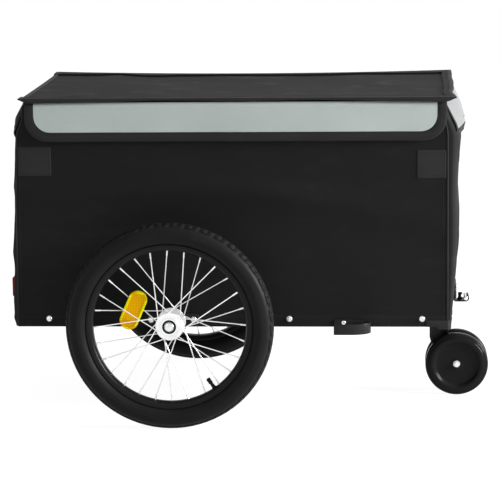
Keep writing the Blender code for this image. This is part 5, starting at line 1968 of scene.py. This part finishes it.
@dataclass
class LadderFrame:
    """The ladder frame, posts, top frame, brackets, hooks and drawbar lug."""

    layout: Layout
    bead: float = 0.0018
    rail: float = 0.025
    bolts_fore: tuple[float, ...] = (-0.0410, 0.0415)
    hook_rear: float = 0.1606
    hook_nose: float = 0.2296
    hook_low: float = 0.1815
    hook_tall: float = 0.0200
    hook_bend: float = 0.0385
    hook_bolts: tuple[float, ...] = (0.1784, 0.2095)
    lug_leg_x: float = 0.3948
    lug_width: float = 0.0400
    lug_steel: float = 0.0025

    def build(self) -> None:
        """Build the steel and its fixings."""
        edges = {"base_frame": 0.0012, "top_frame": 0.0007, "castor_plate": 0.0006}
        edges |= {f"post_{end}_{side}": 0.0005 for end in ("rear", "front")
                  for _, side in SIDES}
        for node, edge in edges.items():
            put(softened(node, Finish.BLACK_STEEL, edge), "trailer", "black_steel", node)
        put(self.welds(), "trailer", "black_steel")
        put(self.sleeve_screws(), "trailer", "bright_steel")
        put(self.plate_bolts(), "trailer", "bright_steel")
        put(softened("floor_board", Finish.FLOOR, 0.0006), "trailer", "floor_plastic",
            "floor_board")
        put(self.floor_screws(), "trailer", "bright_steel")
        for side, name in SIDES:
            put(self.bracket(side, name), "trailer", "black_steel", f"axle_bracket_{name}")
            put(self.hook(side, name), "trailer", "black_steel", f"side_hook_{name}")
        put(self.lug(), "trailer", "black_steel", "drawbar_lug")
        put(self.pin(), "trailer", "bright_steel", "lug_pin")

    def welds(self) -> bpy.types.Object:
        """Rippled weld beads where the cross rails meet the side rails, seen from below."""
        low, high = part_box("base_frame")
        inner = high.y - self.rail
        steps = even(13)
        bead = bent_rod("weld_bead", [(0.0115 * t, 0.0, 0.0) for t in steps],
                        [self.bead * (0.45 if abs(t) == 1 else 0.85 + 0.15 * (i % 2))
                         for i, t in enumerate(steps)], 8, Finish.WELD)
        middles = [low.x + self.rail / 2, self.layout.axle_x, self.layout.fore(CROSS_RAIL),
                   high.x - self.rail / 2]
        places = [Matrix.Translation((x, side * inner, low.z + 0.0002))
                  for x in middles for side in (-1, 1)]
        return repeated(bead, places, "frame_welds")

    def sleeve_screws(self) -> bpy.types.Object:
        """Small pan-head screws in the sleeves of the top frame's corners."""
        low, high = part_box("top_frame")
        half, reach, radius = 0.0100, 0.0225, 0.0092
        screws = []
        for x, way_x in ((low.x + half, 1), (high.x - half, -1)):
            for side in (-1, 1):
                corner = Vector((x, side * (high.y - half), (low.z + high.z) / 2 + 0.005))
                for step, way in ((Vector((way_x, 0, 0)), Vector((0, -side, 0))),
                                  (Vector((0, -side, 0)), Vector((way_x, 0, 0))),
                                  (-UP, Vector((way_x, 0, 0)))):
                    screws.append(dome_bolt("sleeve_screw", tuple(corner + step * reach
                                                                  + way * radius),
                                            way, 0.0026, Finish.CHROME))
        return joined(screws, "sleeve_screws")

    def plate_bolts(self) -> bpy.types.Object:
        """The four bolts that hold the castor's plate, with their heads below."""
        low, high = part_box("castor_plate")
        middle = (low + high) / 2
        bolts = [hex_head("plate_bolt", (middle.x + 0.0195 * end, 0.0280 * side,
                                         high.z - 0.0031), -UP,
                          0.0090, 0.0040, Finish.CHROME)
                 for end in (-1, 1) for side in (-1, 1)]
        return joined(bolts, "castor_plate_bolts")

    def floor_screws(self) -> bpy.types.Object:
        """Pan-head screws that hold the floor board to the rails."""
        low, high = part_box("floor_board")
        spots = [(low.x + 0.055 + k * (high.x - low.x - 0.11) / 4, side * (high.y - 0.014))
                 for k in range(5) for side in (-1, 1)]
        spots += [(x, y) for x in (self.layout.axle_x, self.layout.fore(CROSS_RAIL))
                  for y in (-0.09, 0.09)]
        screw = dome_bolt("floor_screw", (0.0, 0.0, high.z - 0.0001), UP,
                          0.0042, Finish.CHROME)
        return repeated(screw, [Matrix.Translation((x, y, 0.0)) for x, y in spots],
                        "floor_screws")

    def bracket(self, side: int, name: str) -> bpy.types.Object:
        """An axle bracket: its plate and bush, the bush's weld and two domed bolts."""
        lay = self.layout
        _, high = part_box("axle_bracket_left")
        plate = softened(f"axle_bracket_{name}", Finish.BLACK_STEEL, 0.0005)
        face = high.y - 0.0051
        weld = spun(f"bush_weld_{name}",
                    [(0.0128, 0.0), (0.0150, 0.0), (0.0148, 0.0009), (0.0139, 0.0018),
                     (0.0130, 0.0022), (0.0128, 0.0016)],
                    (lay.axle_x, side * face, lay.axle_z), 40, Finish.WELD,
                    way=Vector((0, side, 0)))
        bolts = [dome_bolt(f"bracket_bolt_{name}", (lay.fore(x), side * face, lay.axle_z + 0.0012),
                           Vector((0, side, 0)), 0.0054, Finish.CHROME)
                 for x in self.bolts_fore]
        return joined([plate, weld, *bolts], f"visual_axle_bracket_{name}")

    def hook(self, side: int, name: str) -> bpy.types.Object:
        """A side hook: a strap bent back on itself, held by two bolts."""
        _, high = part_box("side_hook_left")
        inner, outer = self.layout.body_side + 0.0019, high.y - 0.0015
        half = (outer - inner) / 2
        bend_x = self.hook_nose - self.hook_bend
        turn = [(bend_x + self.hook_bend * math.sin(t), inner + half - half * math.cos(t))
                for t in even(22, 0.0, math.pi)]
        path = [(self.hook_rear, inner)] + turn + [(self.hook_rear, outer)]
        bar = strap(f"hook_strap_{name}", [(x, side * y, self.hook_low) for x, y in path],
                    Vector((0, 0, self.hook_tall)), 0.0030, Finish.STRAP_STEEL)
        bolts = [dome_bolt(f"hook_bolt_{name}", (x, side * (inner + 0.0014),
                                                 self.hook_low + 0.0140),
                           Vector((0, side, 0)), 0.0040, Finish.CHROME)
                 for x in self.hook_bolts]
        return joined([bar, *bolts], f"visual_side_hook_{name}")

    def lug(self) -> bpy.types.Object:
        """The drawbar lug: a bent bracket with its curl, stand-offs, nuts and rubber spool."""
        low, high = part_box("drawbar_lug")
        pin_low, pin_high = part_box("lug_pin")
        pin = (pin_low + pin_high) / 2
        foot = low.z + self.lug_steel / 2
        curl, bend = pin.z - foot, 0.0040
        path = [(self.lug_leg_x, high.z)]
        path += [(self.lug_leg_x + bend - bend * math.cos(t), foot + bend - bend * math.sin(t))
                 for t in even(6, 0.0, math.pi / 2)]
        path += [(pin.x + curl * math.sin(t), pin.z - curl * math.cos(t))
                 for t in even(12, 0.0, math.radians(150.0))]
        bar = strap("lug_bar", [(x, -self.lug_width / 2, z) for x, z in path],
                    Vector((0, self.lug_width, 0)), self.lug_steel, Finish.BLACK_STEEL)
        parts = [bar]
        rail_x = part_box("base_frame")[1].x
        for side in (-1, 1):
            at = (rail_x, side * 0.0110, low.z + 0.0130)
            length = self.lug_leg_x - rail_x
            parts.append(spun("lug_standoff", [(0.0, 0.0), (0.0050, 0.0), (0.0050, length),
                                               (0.0, length)],
                              at, 24, Finish.BLACK_STEEL, closed=False, way=AHEAD))
            parts.append(hex_head("lug_nut", (self.lug_leg_x + self.lug_steel / 2, at[1], at[2]),
                                  AHEAD, 0.0080, 0.0042, Finish.BLACK_STEEL))
        spool = [(0.0, -0.0002), (0.0055, -0.0002), (0.0055, 0.0012), (0.0046, 0.0022),
                 (0.0034, 0.0040), (0.0031, 0.0058), (0.0034, 0.0078), (0.0048, 0.0098),
                 (0.0056, 0.0104), (0.0056, 0.0122), (0.0050, 0.0128), (0.0, 0.0128)]
        parts.append(spun("lug_spool", spool, (self.lug_leg_x + 0.0118, 0.0,
                                               foot + self.lug_steel / 2), 28, Finish.SEAL,
                          closed=False, way=UP))
        return joined(parts, "visual_drawbar_lug")

    def pin(self) -> bpy.types.Object:
        """The lug's cross pin with chamfered ends and a groove in each."""
        low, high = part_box("lug_pin")
        radius, half = (high.z - low.z) / 2, (high.y - low.y) / 2
        end = [(radius - 0.0008, half), (radius, half - 0.0008), (radius, half - 0.0030),
               (radius - 0.0006, half - 0.0034), (radius - 0.0006, half - 0.0046),
               (radius, half - 0.0050)]
        profile = [(0.0, half), *end, *[(r, -y) for r, y in reversed(end)], (0.0, -half)]
        return spun("visual_lug_pin", profile, tuple((low + high) / 2), 32, Finish.CHROME,
                    closed=False)


@dataclass
class Reflectors:
    """The two white reflectors in front and the two red ones behind."""

    layout: Layout
    box: Box
    half_width: float = 0.0340
    front_y: float = 0.1520
    rear_y: float = 0.1850

    def build(self) -> None:
        """Build and place the reflectors."""
        for side, name in SIDES:
            low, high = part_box("front_reflector_right")
            top = high.z - 0.0010
            wall = self.box.front_face(self.front_y, (low.z + top) / 2)
            put(self.unit(f"front_reflector_{name}", side * self.front_y, (top - 0.0290, top),
                          (wall - 0.0030, wall + 0.0030, wall + 0.0068), Finish.WHITE),
                "trailer", "white_lens", f"front_reflector_{name}")
            low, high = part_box("rear_reflector_right")
            wall = self.box.rear_face(self.rear_y, (low.z + high.z) / 2)
            put(self.unit(f"rear_reflector_{name}", side * self.rear_y, (low.z, high.z),
                          (wall + 0.0030, low.x + 0.0015, low.x - 0.0040), Finish.RED),
                "trailer", "red_lens", f"rear_reflector_{name}")

    def unit(self, name: str, y: float, levels: Pair, depths: tuple[float, float, float],
             finish: Finish) -> bpy.types.Object:
        """One reflector: a housing against the wall and a lens with a raised field.

        Args:
            name: The reflector's name.
            y: The middle of its width.
            levels: Its lower and upper edge.
            depths: X of the housing's back, of the joint with the lens and of its face.
            finish: The lens's finish.

        Returns:
            The reflector.
        """
        back, joint, face = depths
        way = 1 if face > back else -1
        housing = block(f"{name}_case", (min(back, joint), y - self.half_width, levels[0]),
                        (max(back, joint), y + self.half_width, levels[1]), Finish.CASE,
                        0.0010)
        rim = 0.0011
        lens = block(f"{name}_lens",
                     (min(joint, face) - 0.0004, y - self.half_width + rim, levels[0] + rim),
                     (max(joint, face), y + self.half_width - rim, levels[1] - rim), finish,
                     0.0014, 3)
        with edit(lens, "FACE"):
            pick(lens, lambda c, n: n.x * way > 0.98)
            bpy.ops.mesh.inset(thickness=0.0026)
            bpy.ops.mesh.inset(thickness=0.0006, depth=-0.0007)
            bpy.ops.mesh.inset(thickness=0.0010)
            bpy.ops.mesh.inset(thickness=0.0006, depth=0.0007)
        return joined([housing, settle(lens, finish)], f"visual_{name}")


@dataclass
class Castor:
    """The swivel castor with its leg and its two wheels."""

    layout: Layout
    half_leg: float = 0.0080
    cap_radius: float = 0.0200
    eye_bore: float = 0.0084
    eye_radius: float = 0.0125

    def build(self) -> None:
        """Build and place the castor's pieces."""
        put(self.leg(), "castor_swivel", "black_plastic", "castor_leg")
        put(self.wheels(), "castor_pair", "black_plastic", "castor_wheels")

    def leg(self) -> bpy.types.Object:
        """The cast leg with sunk panels between its ribs, its swivel cap and its eye."""
        low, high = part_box("castor_leg")
        centre = self.layout.castor
        leg = merged("castor_leg", "leg_casting")
        with edit(leg, "FACE"):
            for point, normal in (((centre.x - 0.0120, 0.0, 0.0800), (-0.55, 0.0, 0.83)),
                                  ((low.x, 0.0, 0.1560), (0.0, 0.0, 1.0))):
                bpy.ops.mesh.select_all(action="SELECT")
                bpy.ops.mesh.bisect(plane_co=point, plane_no=normal)
            for side in (-1, 1):
                pick(leg, lambda p, n: 0.088 < p.z < 0.155 and p.y * side > 0.007
                     and n.y * side > 0.95)
                bpy.ops.mesh.inset(thickness=0.0034)
                bpy.ops.mesh.inset(thickness=0.0012, depth=-0.0040)
        modify(leg, "BEVEL", width=0.0007, segments=2, limit_method="ANGLE",
               angle_limit=math.radians(40.0))
        settle(leg, Finish.CASTOR_GLOSS)
        swivel = sum(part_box("castor_plate"), Vector()) / 2
        ring = [(-0.0030, -0.0060), (0.0006, -0.0060), (0.0010, -0.0050), (0.0010, -0.0012),
                (0.0002, -0.0002), (-0.0030, -0.0002)]
        skirt = spun("leg_skirt", [(self.cap_radius + out, high.z + rise) for out, rise in ring],
                     (swivel.x, swivel.y, 0.0), 48, Finish.CASTOR_GLOSS, way=UP)
        boss = [(self.eye_bore, -0.0010), (self.eye_radius - 0.0012, -0.0010),
                (self.eye_radius - 0.0012, 0.0006), (self.eye_radius - 0.0018, 0.0010),
                (self.eye_bore, 0.0010)]
        bosses = [spun("leg_boss", [(radius, side * (self.half_leg + rise))
                                    for radius, rise in boss],
                       (centre.x, 0.0, centre.z), 36, Finish.CASTOR_GLOSS)
                  for side in (-1, 1)]
        return joined([leg, skirt, *bosses], "visual_castor_leg")

    def wheels(self) -> bpy.types.Object:
        """The two wheels with treads, dished faces, axle sleeve and hexagon bolts."""
        centre = tuple(self.layout.castor)
        body = [(0.0070, 0.0106), (0.0180, 0.0106), (0.0190, 0.0120), (0.0400, 0.0135),
                (0.0480, 0.0120), (0.0540, 0.0110), (0.0572, 0.0112), (0.0580, 0.0120),
                (0.0580, 0.0288), (0.0572, 0.0305), (0.0550, 0.0319), (0.0525, 0.0327),
                (0.0500, 0.0330), (0.0480, 0.0328), (0.0462, 0.0321), (0.0448, 0.0308),
                (0.0436, 0.0292), (0.0422, 0.0278), (0.0404, 0.0268), (0.0380, 0.0263),
                (0.0160, 0.0262),
                (0.0120, 0.0266), (0.0100, 0.0274), (0.0070, 0.0276)]
        tread = [(0.0574, 0.0114), (0.0600, 0.0113), (0.0616, 0.0121), (0.0627, 0.0138),
                 (0.0634, 0.0165), (0.0635, 0.0200), (0.0635, 0.0225), (0.0632, 0.0250),
                 (0.0624, 0.0272), (0.0611, 0.0290), (0.0594, 0.0303), (0.0576, 0.0306)]
        parts = []
        for side in (-1, 1):
            way = Vector((0.0, float(side), 0.0))
            parts.append(spun(f"castor_body_{side}", body, centre, 72, Finish.CASTOR_GLOSS,
                              way=way, angle=50.0))
            parts.append(spun(f"castor_tread_{side}", tread, centre, 72, Finish.TREAD,
                              way=way, angle=60.0))
            face = self.layout.castor + way * 0.0270
            parts.append(hex_head(f"castor_bolt_{side}", tuple(face), way, 0.0112, 0.0058,
                                  Finish.CHROME, washer=False))
        sleeve = [(0.0, -0.0270), (0.0069, -0.0270), (0.0069, 0.0270), (0.0, 0.0270)]
        parts.append(spun("castor_sleeve", sleeve, centre, 28, Finish.CHROME, closed=False))
        return joined(parts, "visual_castor_wheels")


# The studio


@dataclass
class Studio:
    """White surroundings, level light and the photograph's camera."""

    lens: float = 177.4
    place: Point = (0.28988, -4.9111, 1.1211)
    yaw: float = 3.5722
    pitch: float = 9.5541
    roll: float = -0.6434
    floor_size: float = 14.0
    floor_glow: float = 0.945
    key_power: float = 380.0
    fill_power: float = 16.0
    sky: float = 0.30

    def build(self) -> None:
        """Set the world, the lights, the floor and the camera."""
        scene = bpy.context.scene
        scene.view_settings.view_transform = "Standard"
        self.world(scene)
        self.floor()
        self.lamp("key", (3.8, -0.8, 1.7), self.key_power, 1.5)
        self.lamp("fill", (-3.0, -2.8, 2.0), self.fill_power, 2.6)
        self.lamp("back", (0.6, 3.2, 2.8), self.fill_power, 2.6)
        self.camera(scene)

    def world(self, scene: bpy.types.Scene) -> None:
        """White to the camera, and an even soft light on the trailer."""
        scene.world = bpy.data.worlds.new("studio_world")
        graph = Graph(scene.world)
        light, seen = (graph.node("ShaderNodeBackground", None,
                                  {"Color": (1.0, 1.0, 1.0, 1.0), "Strength": strength})
                       for strength in (self.sky, 1.0))
        graph.background(light, seen)

    def floor(self) -> None:
        """A floor that is white where it is open and keeps the trailer's soft shadow."""
        bpy.ops.object.select_all(action="DESELECT")
        bpy.ops.mesh.primitive_plane_add(size=self.floor_size, location=(0.0, 0.0, -0.0005))
        floor = new_piece("studio_floor")
        graph = Graph("studio_floor")
        glow = graph.node("ShaderNodeEmission", inputs={"Strength": self.floor_glow})
        faint = graph.node("ShaderNodeBsdfDiffuse", inputs={0: (0.20, 0.20, 0.20, 1.0)})
        shown = graph.node("ShaderNodeAddShader", inputs={0: glow.outputs[0],
                                                          1: faint.outputs[0]})
        matt = graph.node("ShaderNodeBsdfDiffuse", inputs={0: (0.9, 0.9, 0.9, 1.0)})
        graph.background(matt, shown)
        floor.data.materials.append(graph.owner)

    def lamp(self, name: str, place: Point, power: float, size: float) -> None:
        """A square area light that faces the trailer."""
        data = bpy.data.lights.new(name, "AREA")
        data.energy, data.size = power, size
        lamp = bpy.data.objects.new(name, data)
        bpy.context.collection.objects.link(lamp)
        lamp.location = place
        aim = Vector((0.0, 0.0, 0.3)) - Vector(place)
        lamp.rotation_euler = aim.to_track_quat("-Z", "Y").to_euler()

    def camera(self, scene: bpy.types.Scene) -> None:
        """The camera, from the two wheels' ellipses and the cover's corners."""
        yaw, pitch, roll = (math.radians(a) for a in (self.yaw, self.pitch, self.roll))
        ahead = Vector((-math.sin(yaw) * math.cos(pitch), math.cos(yaw) * math.cos(pitch),
                        -math.sin(pitch)))
        right = Vector((math.cos(yaw), math.sin(yaw), 0.0))
        up = right.cross(ahead)
        turned = right * math.cos(roll) + up * math.sin(roll)
        above = up * math.cos(roll) - right * math.sin(roll)
        data = bpy.data.cameras.new("photo_camera")
        data.lens, data.sensor_width = self.lens, 36.0
        camera = bpy.data.objects.new("photo_camera", data)
        bpy.context.collection.objects.link(camera)
        frame = Matrix((turned, above, -ahead)).transposed().to_4x4()
        camera.matrix_world = Matrix.Translation(self.place) @ frame
        scene.camera = camera


def main() -> None:
    """Build the trailer's looks, one sub-assembly after another."""
    logging.basicConfig(level=logging.INFO, format="%(name)s: %(message)s")
    layout = Layout.measured()
    box = Box(layout)
    for assembly in (Wheel(layout, -1), Wheel(layout, 1), box, Cover(),
                     LadderFrame(layout), Reflectors(layout, box), Castor(layout), Studio()):
        LOG.info("building %s", type(assembly).__name__)
        assembly.build()


if __name__ == "__main__":
    main()
